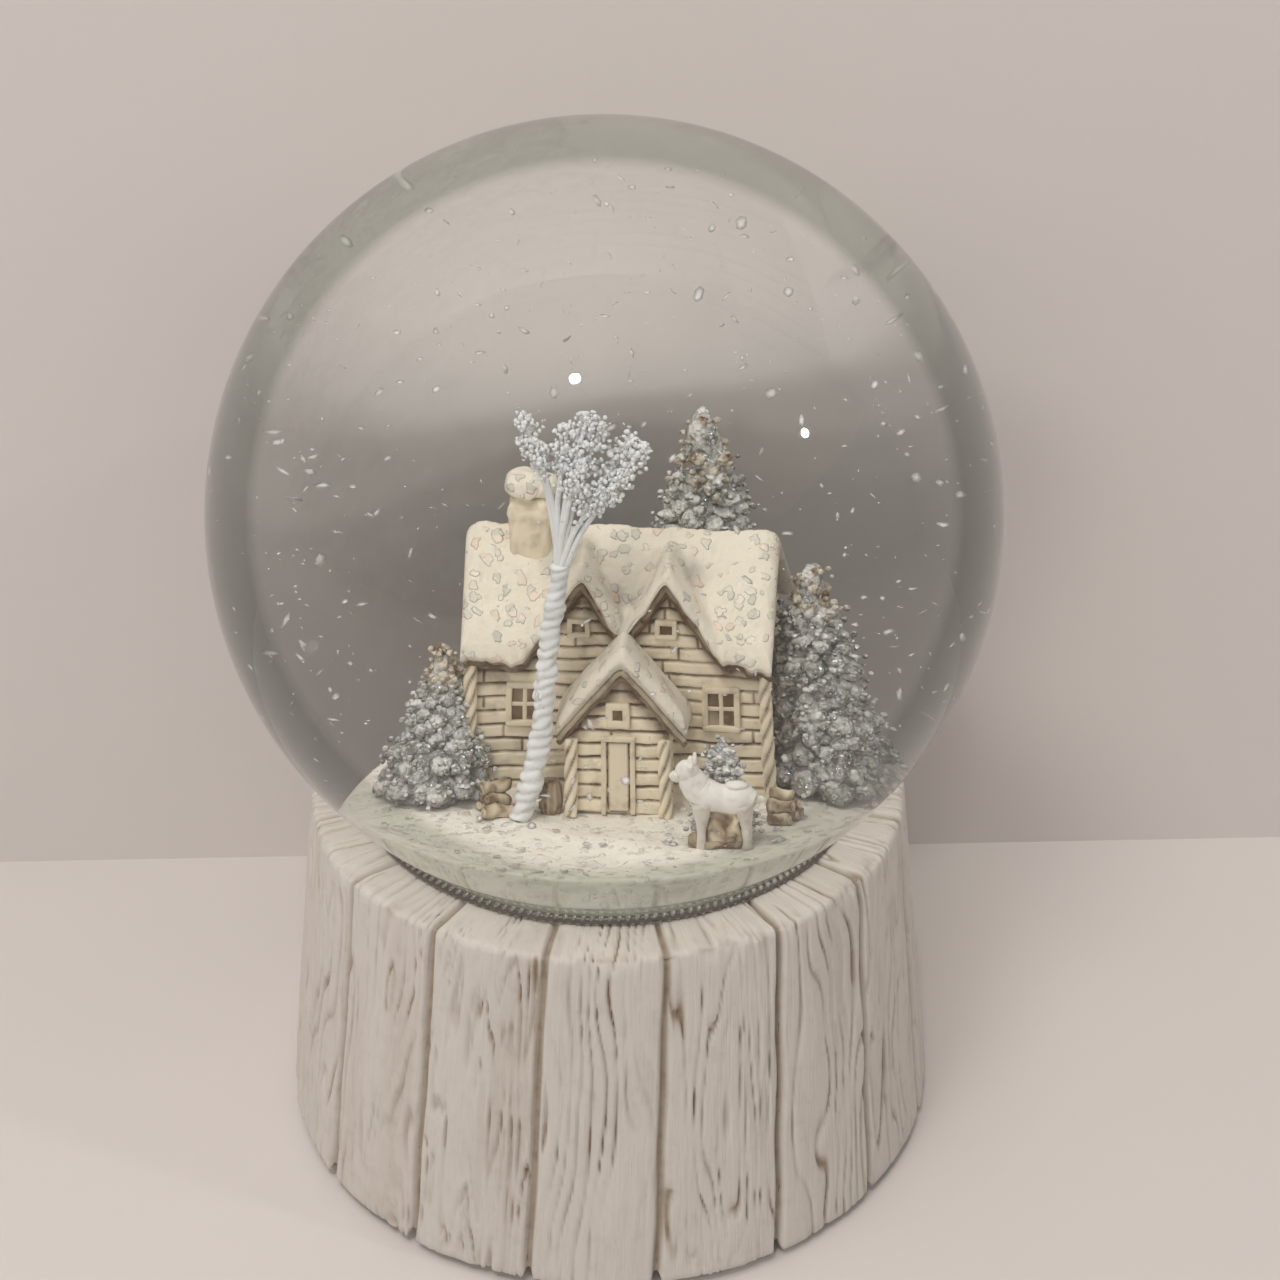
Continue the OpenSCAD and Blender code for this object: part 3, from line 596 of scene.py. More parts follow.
# A blown ball: outer arc from the pole to the neck, down the neck, round its lip and back up the inner arc
def ballGlass():
    inner = ballRadius - glass["wall"]
    neckZ, neckInner = glassLow[2], neckRadius - 2
    outerEnd = math.acos((baseTop + 0.4 - ballCentre) / ballRadius)
    innerEnd = math.pi - math.asin(neckInner / inner)
    outerAngles = np.linspace(0, outerEnd, glass["rows"])
    innerAngles = np.linspace(innerEnd, 0, glass["rows"])
    outer = np.stack([ballRadius * np.sin(outerAngles), ballCentre + ballRadius * np.cos(outerAngles)], -1)
    inside = np.stack([inner * np.sin(innerAngles), ballCentre + inner * np.cos(innerAngles)], -1)
    lipCorners = [outer[-1], (neckRadius, baseTop - 0.8), (neckRadius, neckZ), (neckInner, neckZ), inside[0]]
    lip = sampled(lipCorners, [2, 3, 1, 4])
    angles = np.linspace(0, 2 * math.pi, glass["columns"] + 1)
    outside = revolve(np.concatenate([outer, lip[1:]]), angles)
    insideGrid = revolve(inside, angles)
    parts = [gridPart(outside, 0, 0), gridPart(insideGrid, 0, 1)]
    finishes = [clearGlass("ballGlass", glass["index"]), clearGlass("glassOverLiquid", glass["indexInside"])]
    return makePiece("ballGlass", parts, finishes)


ball = ballGlass()
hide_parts("glass_globe")
print("glass ball made")


# The filling: a clear body just inside the glass, with the faintest grey-green tint
def clearFilling():
    inner = ballRadius - glass["wall"] - 0.15
    low = boxMm("liquid")[0][2]
    end = math.acos((low + 0.2 - ballCentre) / inner)
    a = np.linspace(0, end, 60)
    arc = np.stack([inner * np.sin(a), ballCentre + inner * np.cos(a)], -1)
    clear = 0.05  # between the filling and the snow
    corners = [arc[-1], (moundRadius + 0.4, low + 0.2), (moundRadius + 0.4, snowTop + clear),
               (0, snowTop + clear)]
    under = sampled(corners, [2, 4, 6])
    profile = np.concatenate([arc, under[1:]])
    points = revolve(profile, np.linspace(0, 2 * math.pi, 97))
    onMound = (points[..., 2] < snowTop + 1) * (np.hypot(points[..., 0], points[..., 1]) < moundRadius + 1)
    points[..., 0] += moundX * onMound
    material, nodes, links, shader = newMaterial("clearLiquid")
    murk = noiseNode(nodes, links, objectCoords(nodes), 60, 2)
    links.new(mathNode(nodes, links, "MULTIPLY_ADD", murk, 0.01, 0.012), shader.inputs["Alpha"])
    shader.inputs["Base Color"].default_value = (0.55, 0.60, 0.57, 1)
    shader.inputs["Roughness"].default_value = 1.0
    shader.inputs["Specular IOR Level"].default_value = 0.0
    return makePiece("clearFilling", [gridPart(points)], [material])


filling = clearFilling()
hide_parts("liquid")


# Shapes shared by the scene

# Shifts every point by smooth noise, the same for equal points, so closed forms stay closed
def roughened(points, amount, scale, seed):
    shift = np.stack([ripple(points, scale, seed + k, 2) for k in range(3)], -1)
    return points + shift * amount


# Rows of unit vectors as turns that carry +X onto each of them, with Y kept level
def aimed(directions):
    ahead = directions / np.linalg.norm(directions, axis=-1, keepdims=True)
    level = np.cross(np.broadcast_to([0, 0, 1.0], ahead.shape), ahead)
    level = level / np.maximum(np.linalg.norm(level, axis=-1, keepdims=True), 1e-6)
    return np.stack([ahead, level, np.cross(ahead, level)], -1)


# Many closed bodies at once: a unit sphere whose sines and cosines are raised to a power (1 is round, 0.2 is
# a box with soft edges), scaled, turned and moved
def blobs(centres, sizes, turns=None, power=1.0, columns=8, rows=5):
    u, v = np.meshgrid(np.linspace(-np.pi, np.pi, columns + 1), np.linspace(-np.pi / 2, np.pi / 2, rows + 1),
                       indexing="ij")
    bent = [np.sign(t) * np.abs(np.round(t, 9)) ** power
            for t in (np.cos(u), np.sin(u), np.cos(v), np.sin(v))]
    unit = np.stack([bent[2] * bent[0], bent[2] * bent[1], bent[3]], -1)
    points = unit[None] * np.atleast_2d(sizes)[:, None, None, :]
    if turns is not None:
        points = np.einsum("nij,nuvj->nuvi", turns, points)
    return points + np.atleast_2d(centres)[:, None, None, :]


# Round bars along paths, shut at both ends. Rope: the radius dips between strands that wind at a steady rate.
# Gives the points and the depth of the dip, 0 on a strand and 1 between two
def tubes(paths, radii, sides=10, strands=0, rate=0.0, dip=0.0, level=(0, 1, 0)):
    paths = np.concatenate([paths[:, :1], paths, paths[:, -1:]], 1)
    shut = np.zeros((len(paths), 1))
    radii = np.concatenate([shut, np.broadcast_to(radii, (len(paths), paths.shape[1] - 2)), shut], 1)
    ahead = np.gradient(paths[:, 1:-1], axis=1)
    ahead = np.concatenate([ahead[:, :1], ahead, ahead[:, -1:]], 1)
    ahead = ahead / np.linalg.norm(ahead, axis=-1, keepdims=True)
    side = np.cross(ahead, np.array(level, float))
    side = side / np.linalg.norm(side, axis=-1, keepdims=True)
    upright = np.cross(side, ahead)
    steps = np.linalg.norm(np.diff(paths, axis=1), axis=-1)
    run = np.concatenate([shut, np.cumsum(steps, 1)], 1)[:, None, :]
    turn = np.linspace(0, 2 * np.pi, sides + 1)[None, :, None]
    groove = 1 - np.abs(np.cos((strands * turn + rate * run) / 2)) if strands else 0 * turn * run
    radius = radii[:, None, :] * (1 - dip * groove ** 1.5)
    points = paths[:, None] + (radius * np.cos(turn))[..., None] * side[:, None]
    return points + (radius * np.sin(turn))[..., None] * upright[:, None], groove


# Places points of the cabin's own frame: turned about the vertical, then moved to the cabin
def placed(points):
    a = math.radians(cabin["turn"])
    x, y, z = np.moveaxis(points, -1, 0)
    return np.stack([x * math.cos(a) - y * math.sin(a) + cabinMiddle[0],
                     x * math.sin(a) + y * math.cos(a) + cabinMiddle[1], z + snowTop], -1)


# Straight path with evenly spaced points
def straight(start, stop, rows):
    start, stop = np.array(start, float), np.array(stop, float)
    return start + (stop - start) * np.linspace(0, 1, rows)[:, None]


# Materials of the scene

def washOf(nodes):
    wash = nodes.new("ShaderNodeAttribute")
    wash.attribute_name = "wash"
    return wash.outputs["Fac"]


pitDepth = 0.00012  # metres


# Painted resin: light paint with a wash settled where the wash attribute says, and fine pitting
def washedPaint(name, light, dark, mottle=0.3, scale=700.0, rough=0.55):
    material, nodes, links, shader = newMaterial(name)
    washed = useGroup(nodes, washGroup, **{"Light": (*light, 1), "Dark": (*dark, 1), "Mottle Scale": scale,
                                           "Mottle": mottle})
    links.new(washOf(nodes), washed.inputs["Wash"])
    links.new(washed.outputs["Color"], shader.inputs["Base Color"])
    shader.inputs["Roughness"].default_value = rough
    links.new(bumpNode(nodes, links, washed.outputs["Height"], pitDepth, 0.6), shader.inputs["Normal"])
    return material


# Cream snow with flat flakes lying in it: each cell of a Voronoi pattern may be a grey, pink or pale flake
def flakedSnow(name, light, share, scale, grey):
    material, nodes, links, shader = newMaterial(name)
    coords = objectCoords(nodes)
    cells = nodes.new("ShaderNodeTexVoronoi")
    cells.inputs["Scale"].default_value = scale
    shift = nodes.new("ShaderNodeVectorMath")
    shift.operation = "MULTIPLY_ADD"
    wobble = nodes.new("ShaderNodeTexNoise")
    wobble.inputs["Scale"].default_value = 900
    links.new(coords, wobble.inputs["Vector"])
    links.new(wobble.outputs["Color"], shift.inputs[0])
    shift.inputs[1].default_value = (0.0016, 0.0016, 0.0016)
    links.new(coords, shift.inputs[2])
    links.new(shift.outputs[0], cells.inputs["Vector"])
    split = nodes.new("ShaderNodeSeparateColor")
    links.new(cells.outputs["Color"], split.inputs["Color"])
    flake = mathNode(nodes, links, "LESS_THAN", split.outputs["Red"], share)
    inside = rampNode(nodes, links, cells.outputs["Distance"], 0.5, 0.38)
    flake = mathNode(nodes, links, "MULTIPLY", flake, inside)
    tint = mixColour(nodes, links, rampNode(nodes, links, split.outputs["Green"], 0.74, 0.78), grey,
                     (0.80, 0.56, 0.46))
    washed = useGroup(nodes, washGroup, **{"Light": (*light, 1), "Dark": (0.36, 0.33, 0.29, 1),
                                           "Mottle Scale": 380.0, "Mottle": 0.12})
    links.new(washOf(nodes), washed.inputs["Wash"])
    strength = mathNode(nodes, links, "MULTIPLY_ADD", split.outputs["Blue"], 0.5, 0.12)
    seen = mathNode(nodes, links, "MULTIPLY", flake, strength)
    links.new(mixColour(nodes, links, seen, washed.outputs["Color"], tint), shader.inputs["Base Color"])
    links.new(mathNode(nodes, links, "MULTIPLY_ADD", flake, -0.3, 0.62), shader.inputs["Roughness"])
    height = mathNode(nodes, links, "MULTIPLY_ADD", flake, 0.3, washed.outputs["Height"])
    links.new(bumpNode(nodes, links, height, 0.0005, 1.0), shader.inputs["Normal"])
    return material


# Fir resin: cream and brown where the wash is low, silver glitter over dark grey where it is high
def glitteredResin(name):
    material, nodes, links, shader = newMaterial(name)
    coords = objectCoords(nodes)
    sparkle = useGroup(nodes, sparkleGroup, **{"Scale": 1900.0, "Share": 0.62})
    washed = useGroup(nodes, washGroup, **{"Light": (0.74, 0.67, 0.55, 1), "Dark": (0.20, 0.11, 0.05, 1),
                                           "Mottle Scale": 620.0, "Mottle": 0.9})
    pool = rampNode(nodes, links, noiseNode(nodes, links, coords, 480, 3), 0.46, 0.66)
    links.new(mathNode(nodes, links, "MULTIPLY", pool, 0.7), washed.inputs["Wash"])
    patch = noiseNode(nodes, links, coords, 300, 3)
    amount = mathNode(nodes, links, "ADD", washOf(nodes),
                      mathNode(nodes, links, "MULTIPLY_ADD", patch, 0.8, -0.4))
    glitterZone = rampNode(nodes, links, amount, 0.35, 0.6)
    grey = mixColour(nodes, links, rampNode(nodes, links, noiseNode(nodes, links, coords, 900, 2), 0.4, 0.6),
                     (0.24, 0.225, 0.20), (0.56, 0.55, 0.53))
    grey = mixColour(nodes, links, sparkle.outputs["Mask"], grey, sparkle.outputs["Tint"])
    up = nodes.new("ShaderNodeSeparateXYZ")
    links.new(nodes.new("ShaderNodeNewGeometry").outputs["Normal"], up.inputs[0])
    lying = mathNode(nodes, links, "MULTIPLY_ADD", up.outputs["Z"], 0.22,
                     noiseNode(nodes, links, coords, 420, 4))
    white = rampNode(nodes, links, lying, 0.55, 0.70)
    grey = mixColour(nodes, links, mathNode(nodes, links, "MULTIPLY", white, 0.85), grey, (0.83, 0.82, 0.785))
    links.new(mixColour(nodes, links, glitterZone, washed.outputs["Color"], grey),
              shader.inputs["Base Color"])
    metal = mathNode(nodes, links, "MULTIPLY", sparkle.outputs["Mask"], glitterZone)
    metal = mathNode(nodes, links, "MULTIPLY", metal,
                     mathNode(nodes, links, "MULTIPLY_ADD", white, -0.8, 1.0))
    links.new(mathNode(nodes, links, "MULTIPLY", metal, 0.9), shader.inputs["Metallic"])
    links.new(mathNode(nodes, links, "MULTIPLY_ADD", metal, -0.38, 0.6), shader.inputs["Roughness"])
    links.new(bumpNode(nodes, links, sparkle.outputs["Height"], 0.0007, 1.0), shader.inputs["Normal"])
    return material


cabinPaint = washedPaint("cabinPaint", (0.87, 0.77, 0.59), (0.14, 0.078, 0.034), 0.30, 520.0)
logPaint = washedPaint("logPaint", (0.76, 0.66, 0.48), (0.15, 0.08, 0.032), 0.9, 620.0)
frostPaint = washedPaint("frostPaint", (0.84, 0.85, 0.86), (0.50, 0.50, 0.50), 0.10, 900.0, 0.35)
deerPaint = washedPaint("deerPaint", (0.84, 0.82, 0.77), (0.26, 0.17, 0.09), 0.25)
roofSnow = flakedSnow("roofSnow", (0.82, 0.76, 0.64), 0.5, 760.0, (0.50, 0.49, 0.45))
groundSnow = flakedSnow("groundSnow", (0.87, 0.83, 0.75), 0.34, 950.0, (0.60, 0.60, 0.57))
firPaint = glitteredResin("firPaint")


# Snow underfoot

ground = {"lumps": 0.28, "rings": 70, "spokes": 180, "edge": 0.7}


# A disc of snow over a straight band: the top rises in soft lumps and banks up round the cabin
def snowBank():
    low = moundLow[2]
    edge = ground["edge"]
    across = np.sqrt(np.linspace(0, 1, ground["rings"])) * (moundRadius - edge)
    rim = arcPoints((moundRadius - edge, snowTop - edge), edge, 90, 0, 6)
    profile = np.concatenate([np.stack([across, 0 * across + snowTop], -1), rim[1:],
                              sampled([(moundRadius, snowTop - edge - 0.5), (moundRadius, low), (0, low)],
                                      [12, 4])])
    points = revolve(profile, np.linspace(0, 2 * math.pi, ground["spokes"] + 1))
    points[..., 0] += moundX
    flat = points[..., :2]
    away = np.hypot(flat[..., 0] - moundX, flat[..., 1]) / moundRadius
    a = math.radians(-cabin["turn"])
    shift = flat - cabinMiddle[:2]
    local = np.stack([shift[..., 0] * math.cos(a) - shift[..., 1] * math.sin(a),
                      shift[..., 0] * math.sin(a) + shift[..., 1] * math.cos(a)], -1)
    outside = np.hypot(np.maximum(np.abs(local[..., 0]) - cabin["width"] / 2, 0),
                       np.maximum(np.abs(local[..., 1]) - cabin["half"], 0))
    onTop = ease(points[..., 2], snowTop - 0.4, snowTop)
    lumps = ripple(flat, 0.35, 5, 4) * ground["lumps"] + 0.5 * np.exp(-(outside / 1.6) ** 2)
    points[..., 2] += onTop * lumps * (1 - ease(away, 0.9, 0.985))
    side = (points[..., 2] < snowTop - 0.8) * (away > 0.9)
    push = 0.12 * ripple(points, 0.9, 8, 3) * side
    points[..., :2] += push[..., None] * np.array([1.0, 1.0])
    wash = 0.28 * side * np.clip(ripple(points, 0.4, 9, 3), 0, 1)
    return makePiece("snowBank", [gridPart(points, wash)], [groundSnow])


cabin = {"turn": -5.0, "width": 32.8, "half": 8.0, "wall": 17.5, "gable": 25.6, "dormer": 4.9,
         "dormerShift": 0.8, "dormerTop": 26.0,
         "dormerHalf": 6.2, "board": 1.62, "groove": 0.24, "postRadius": 0.76}
wallsLow, wallsHigh = boxMm("cabin_walls")
cabinMiddle = (wallsLow + wallsHigh) / 2

bank = snowBank()
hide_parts("snow_mound")


# Log walls

# Walls round a rectangle: columns run round the footprint, rows climb to a top that changes from place to
# place. Boards are rounded between grooves at a steady pitch; each has butt joints at places of its own
def boardWalls(low, high, topOf, counts, rows, seed, eaveWashAndShadeAmount=0.0):
    across, deep = counts
    x = np.concatenate([np.linspace(low[0], high[0], across), np.full(deep, high[0]),
                        np.linspace(high[0], low[0], across), np.full(deep, low[0]), [low[0]]])
    y = np.concatenate([np.full(across, low[1]), np.linspace(low[1], high[1], deep), np.full(across, high[1]),
                        np.linspace(high[1], low[1], deep), [low[1]]])
    side = np.repeat([0, 1, 2, 3, 0], [across, deep, across, deep, 1])
    normal = np.array([[0, -1], [1, 0], [0, 1], [-1, 0]])[side]
    run = (np.where(side % 2 == 0, x, y) + side * 60)[:, None]
    top = topOf(x, y, side)[:, None]
    z = np.linspace(0, 1, rows)[None, :] * top
    spot = np.stack(np.broadcast_arrays(run, z), -1)
    level = z / cabin["board"] + 0.10 * ripple(spot * (0.5, 0.2), 1.0, seed, 2)
    board = np.floor(level)
    split = np.abs(level - np.round(level)) * cabin["board"]
    perBoard = np.stack(np.broadcast_arrays(run, board * 9), -1)
    strength = np.clip(0.75 + 0.7 * ripple(perBoard, 0.35, seed + 1, 2), 0.1, 1)
    gap = 1 - ease(split, 0.06, cabin["groove"])
    joint = np.abs((run / 7.0 + np.modf(np.abs(np.sin(board * 12.9898 + seed) * 4375.85))[0]) % 1 - 0.5) * 7.0
    joint = (1 - ease(joint, 0.05, 0.2)) * (np.abs(ripple(spot, 0.15, seed + 2, 1)) > 0.2)
    bulge = 0.12 * (1 - (2 * (level - board) - 1) ** 4)
    cutIn = np.maximum(gap * (0.55 + 0.45 * strength), joint * 0.7)
    push = bulge - 0.34 * cutIn + 0.07 * ripple(spot, 1.3, seed + 3, 3)
    # Painted shade: the front wall darkens in a band just under its top, brown wash together with painted
    # shadow under the eaves
    eaveWashAndShade = eaveWashAndShadeAmount * (1 - ease(top - z, 1.0, 4.4)) * (side == 0)[:, None]
    stain = 0.22 * np.clip(ripple(spot, 0.7, seed + 4, 3), 0, 1)
    wash = np.clip(np.maximum(gap * strength, joint * 0.75) + stain + eaveWashAndShade, 0, 1)
    points = np.stack([x[:, None] + normal[:, :1] * push, y[:, None] + normal[:, 1:] * push, z], -1)
    middle = np.broadcast_to([(low[0] + high[0]) / 2, (low[1] + high[1]) / 2, 0.0], (len(x), 1, 3))
    lid = middle + [0, 0, float(top.min()) - 0.5]
    points = np.concatenate([middle, points, lid], 1)
    return placed(points), np.pad(wash, ((0, 0), (1, 1)))


# Height of the cabin's outline: two dormer gables in front, one gable at each end, level behind
def cabinTop(x, y, side):
    fall = (cabin["dormerTop"] - cabin["wall"]) / cabin["dormerHalf"]
    fromApex = np.abs(np.abs(x - cabin["dormerShift"]) - cabin["dormer"])
    dormers = np.maximum(cabin["wall"], cabin["dormerTop"] - fall * fromApex)
    ends = cabin["gable"] - (cabin["gable"] - cabin["wall"]) * np.abs(y) / cabin["half"]
    return np.where(side == 0, dormers, np.where(side == 2, cabin["wall"], ends)) - 0.1


def cabinLogs():
    w, h = cabin["width"] / 2, cabin["half"]
    walls, wash = boardWalls((-w, -h), (w, h), cabinTop, (210, 54), 160, 31, 0.95)
    return makePiece("cabinLogs", [gridPart(walls, wash)], [cabinPaint])


porch = {"x": 0.3, "half": 5.7, "front": -12.8, "wall": 10.5, "peak": 17.5}


def porchLogs():
    def gableTop(x, y, side):
        fall = (porch["peak"] - porch["wall"]) / porch["half"]
        slope = porch["peak"] - fall * np.abs(x - porch["x"] - 0.4)
        return np.where(side % 2 == 0, slope, porch["wall"]) - 0.1
    low = (porch["x"] - porch["half"], porch["front"])
    high = (porch["x"] + porch["half"], -cabin["half"] - 0.05)
    walls, wash = boardWalls(low, high, gableTop, (100, 36), 110, 52, 0.75)
    return makePiece("porchLogs", [gridPart(walls, wash)], [cabinPaint])


logs = cabinLogs()
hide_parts("cabin_walls")
porchWalls = porchLogs()
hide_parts("porch")


# Rope-turned posts at the cabin's and the porch's corners
def ropePosts():
    w, r = cabin["width"] / 2 + 0.3, cabin["postRadius"]
    front = -cabin["half"] - r - 0.05
    inset = porch["half"] - 0.4
    feet = [(-w, front, cabin["wall"] - 1.5), (w, front, cabin["wall"] - 1.5),
            (porch["x"] - inset, porch["front"] - r - 0.05, porch["wall"] - 1.5),
            (porch["x"] + inset, porch["front"] - r - 0.05, porch["wall"] - 1.5)]
    paths = placed(np.stack([straight((x, y, 0.0), (x, y, top), 90) for x, y, top in feet]))
    points, groove = tubes(paths, r * 1.02, 20, 3, 2.4, 0.42)
    return makePiece("ropePosts", [gridPart(roughened(points, 0.06, 1.1, 4), groove ** 2 * 0.95)],
                     [cabinPaint])


posts = ropePosts()
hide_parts("corner_posts")


# Windows and door

windows = {"size": (4.2, 5.2), "x": (-10.6, 11.6), "sill": 8.1, "bar": 0.36, "gableZ": 20.4}


# A frame of soft-edged bars round brown panes: four outer bars and, when crossed, one bar each way between
def framedPane(x, y, low, width, height, bar, crossed):
    z = low + height / 2
    bars = [((x, y, low), (width / 2 + bar, 0.42, bar)), ((x, y, low + height), (width / 2 + bar, 0.42, bar)),
            ((x - width / 2, y, z), (bar, 0.40, height / 2)),
            ((x + width / 2, y, z), (bar, 0.40, height / 2))]
    if crossed:
        bars += [((x, y + 0.1, z), (bar * 0.7, 0.30, height / 2)),
                 ((x, y + 0.1, z), (width / 2, 0.28, bar * 0.7))]
    centres, sizes = (np.array(v) for v in zip(*bars))
    frame = gridPart(placed(roughened(blobs(centres, sizes, None, 0.3, 16, 8), 0.05, 1.4, 7)), 0.12)
    pane = blobs([(x, y + 0.18, z)], [(width / 2, 0.26, height / 2)], None, 0.3, 16, 8)
    grain = 0.98 + 0.3 * ripple(pane, 2.2, 3, 2)
    return [frame, gridPart(placed(pane), np.clip(grain, 0, 1))]


def windowFrames():
    front = -cabin["half"] - 0.22
    parts = []
    for x in windows["x"]:
        parts += framedPane(x, front, windows["sill"] + 0.3, windows["size"][0] - 0.6,
                            windows["size"][1] - 0.6,
                            windows["bar"], True)
    for x in (-cabin["dormer"] + 0.4, cabin["dormer"] + 0.6):
        parts += framedPane(x, front, windows["gableZ"] - 1.0, 2.0, 1.7, 0.3, False)
    parts += framedPane(porch["x"], porch["front"] - 0.2, 10.6, 1.9, 2.2, 0.42, False)
    return makePiece("windowFrames", parts, [cabinPaint])


# Door: a plain leaf inside two upright casings and a lintel, with a small knob
def doorPanel():
    x, y = porch["x"], porch["front"] - 0.18
    casing = blobs([(x - 1.65, y - 0.05, 4.3), (x + 1.65, y - 0.05, 4.3), (x, y - 0.05, 8.75)],
                   [(0.3, 0.36, 4.4), (0.3, 0.36, 4.4), (1.95, 0.38, 0.32)], None, 0.3, 16, 10)
    leaf = blobs([(x, y + 0.05, 4.3)], [(1.25, 0.22, 4.1)], None, 0.22, 24, 16)
    edge = np.maximum(ease(np.abs(leaf[..., 0] - x), 0.95, 1.2), ease(np.abs(leaf[..., 2] - 4.3), 3.8, 4.05))
    knob = blobs([(x + 0.85, y - 0.22, 4.1)], [(0.17, 0.17, 0.17)])
    parts = [gridPart(placed(roughened(casing, 0.05, 1.2, 9)), 0.15),
             gridPart(placed(leaf), edge * 0.8 + 0.12),
             gridPart(placed(knob), 0.6)]
    return makePiece("doorPanel", parts, [cabinPaint])


frames = windowFrames()
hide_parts("windows")
leaf = doorPanel()
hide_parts("door")
print("cabin walls, posts, windows and door made")


# Snow on the roofs

roof = {"ridge": 29.0, "slope": 1.02, "overhang": 1.4, "eave": 10.6, "thick": 3.2, "dormerThin": 0.8,
        "lumps": 0.30}


# A slab of snow: it follows a height over the plan and thins in a rounded nose towards every edge of the plan
def snowSlab(xs, front, back, heightOf, thick, nose, rows, seed, lumps):
    v = (1 - np.cos(np.linspace(0, np.pi, rows))) / 2
    y = front[:, None] + (back - front)[:, None] * v[None, :]
    x = np.broadcast_to(xs[:, None], y.shape)
    inward = np.minimum(np.minimum(y - front[:, None], back[:, None] - y), np.minimum(x - xs[0], xs[-1] - x))
    swell = np.sqrt(1 - (1 - np.clip(inward / nose, 0, 1)) ** 2)
    spot = np.stack([x, y], -1)
    middle = heightOf(x, y) - thick / 2
    spot = spot + 0.3 * np.stack([ripple(spot, 0.8, seed + 5, 2), ripple(spot, 0.8, seed + 6, 2)], -1)
    upper = middle + swell * (thick / 2 + lumps * ripple(spot, 0.75, seed, 4) + lumps * 0.7)
    lower = middle - swell * (thick / 2 - 0.05 + 0.25 * lumps * ripple(spot, 1.1, seed + 1, 2))
    return np.stack([x, y, upper], -1), np.stack([x, y, lower], -1)


# Ends crowded towards both sides, so that the rounded noses are well drawn
def crowded(low, high, count):
    t = np.linspace(0, 1, count)
    return low + (high - low) * (t - 0.11 * np.sin(2 * np.pi * t))


# The higher of two heights, blended where they cross
def blendedMax(a, b, soft):
    return (a + b + np.sqrt((a - b) ** 2 + soft ** 2)) / 2


def roofHeight(x, y):
    main = roof["ridge"] + 0.6 - roof["slope"] * np.sqrt(y ** 2 + 0.5)
    offset = np.sqrt((np.abs(x - cabin["dormerShift"]) - cabin["dormer"]) ** 2 + 0.12)
    dormer = cabin["dormerTop"] + 2.9 - 1.62 * offset - 40 * ease(y, -2.0, -0.2)
    return blendedMax(main, dormer, 0.9)


def roofSnowSlab():
    half = cabin["width"] / 2 + roof["overhang"]
    xs = crowded(-half, half, 190)
    wave = 0.5 * ripple(xs[:, None], 0.9, 12, 3)
    overDormers = 1 - ease(np.abs(xs - cabin["dormerShift"]), 10.6, 11.6)
    front = -roof["eave"] + 0.8 * overDormers + wave * 0.7
    back = np.full_like(xs, roof["eave"]) + 0.3 * ripple(xs[:, None], 0.8, 13, 2)
    upper, lower = snowSlab(xs, front, back, roofHeight, roof["thick"], 1.7, 110, 40, roof["lumps"])
    thinner = overDormers[:, None] * ease(-lower[..., 1], 4.0, 8.0) * (1 - ease(-lower[..., 1], 9.2, 10.2))
    lower[..., 2] += roof["dormerThin"] * thinner
    # Darker patches on the roof snow: between the dormers, in the valleys beside each dormer and next to the
    # chimney
    spots = np.array([(0.3, -7.6, 2.6), (-5.4, -3.6, 2.6), (8.0, -4.2, 1.6), (-8.6, -1.6, 1.4)])
    near = np.hypot(upper[..., None, 0] - spots[:, 0], upper[..., None, 1] - spots[:, 1]) / spots[:, 2]
    darkPatches = np.exp(-near.min(-1) ** 2) * (0.75 + 0.5 * ripple(upper[..., :2], 0.9, 14, 3))
    # The slab's underside is washed darker than its top, and the eave boards under its front edge darker
    # still, darkest on their lower lip: brown wash with painted shade under the eaves
    parts = [gridPart(placed(upper), np.clip(darkPatches, 0, 1) * 0.62), gridPart(placed(lower[::-1]), 0.35)]
    eave = roofHeight(xs, front + 0.9)
    under = -0.35 + eave - roof["thick"] / 2 - 1.1 + 0.7 * roof["dormerThin"] * overDormers
    board = np.stack([xs, front + 1.1, under], -1)[4:-4]
    lip = board + [0, 0.35, -0.75]
    bars, _ = tubes(placed(np.stack([board, lip])), 0.5, 8, level=(0, 0, 1))
    parts.append(gridPart(roughened(bars, 0.12, 1.3, 6), np.array([0.78, 1.0])[:, None, None], 1))
    return makePiece("roofSnowSlab", parts, [roofSnow, cabinPaint])


def porchHeight(x, y):
    return porch["peak"] + 3.3 - 1.23 * np.sqrt((x - porch["x"] - 0.5) ** 2 + 0.25)


def porchSnowSlab():
    xs = crowded(porch["x"] - 7.1, porch["x"] + 8.0, 90)
    front = porch["front"] - 1.6 + 0.15 * ripple(xs[:, None], 0.9, 16, 2)
    back = np.full_like(xs, -cabin["half"] - 0.1)
    upper, lower = snowSlab(xs, front, back, porchHeight, 2.7, 1.5, 44, 44, 0.24)
    # The underside and the eave boards are darker, darkest on the lower lip: brown wash with painted shade
    # under the porch eave
    parts = [gridPart(placed(upper), 0.12), gridPart(placed(lower[::-1]), 0.35)]
    under = porchHeight(xs, front) - 2.95
    board = np.stack([xs, front + 0.75, under], -1)[6:-6]
    lip = board + [0, 0.3, -0.72]
    bars, _ = tubes(placed(np.stack([board, lip])), 0.36, 8, level=(0, 0, 1))
    parts.append(gridPart(roughened(bars, 0.06, 1.3, 6), np.array([0.6, 0.9])[:, None, None], 1))
    return makePiece("porchSnowSlab", parts, [roofSnow, cabinPaint])


slab = roofSnowSlab()
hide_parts("cabin_roof")
porchSnow = porchSnowSlab()
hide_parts("porch_roof")


# Chimney

stack = {"x": -10.5, "y": -1.2, "half": (2.4, 2.0), "low": 20.0, "high": 33.6}


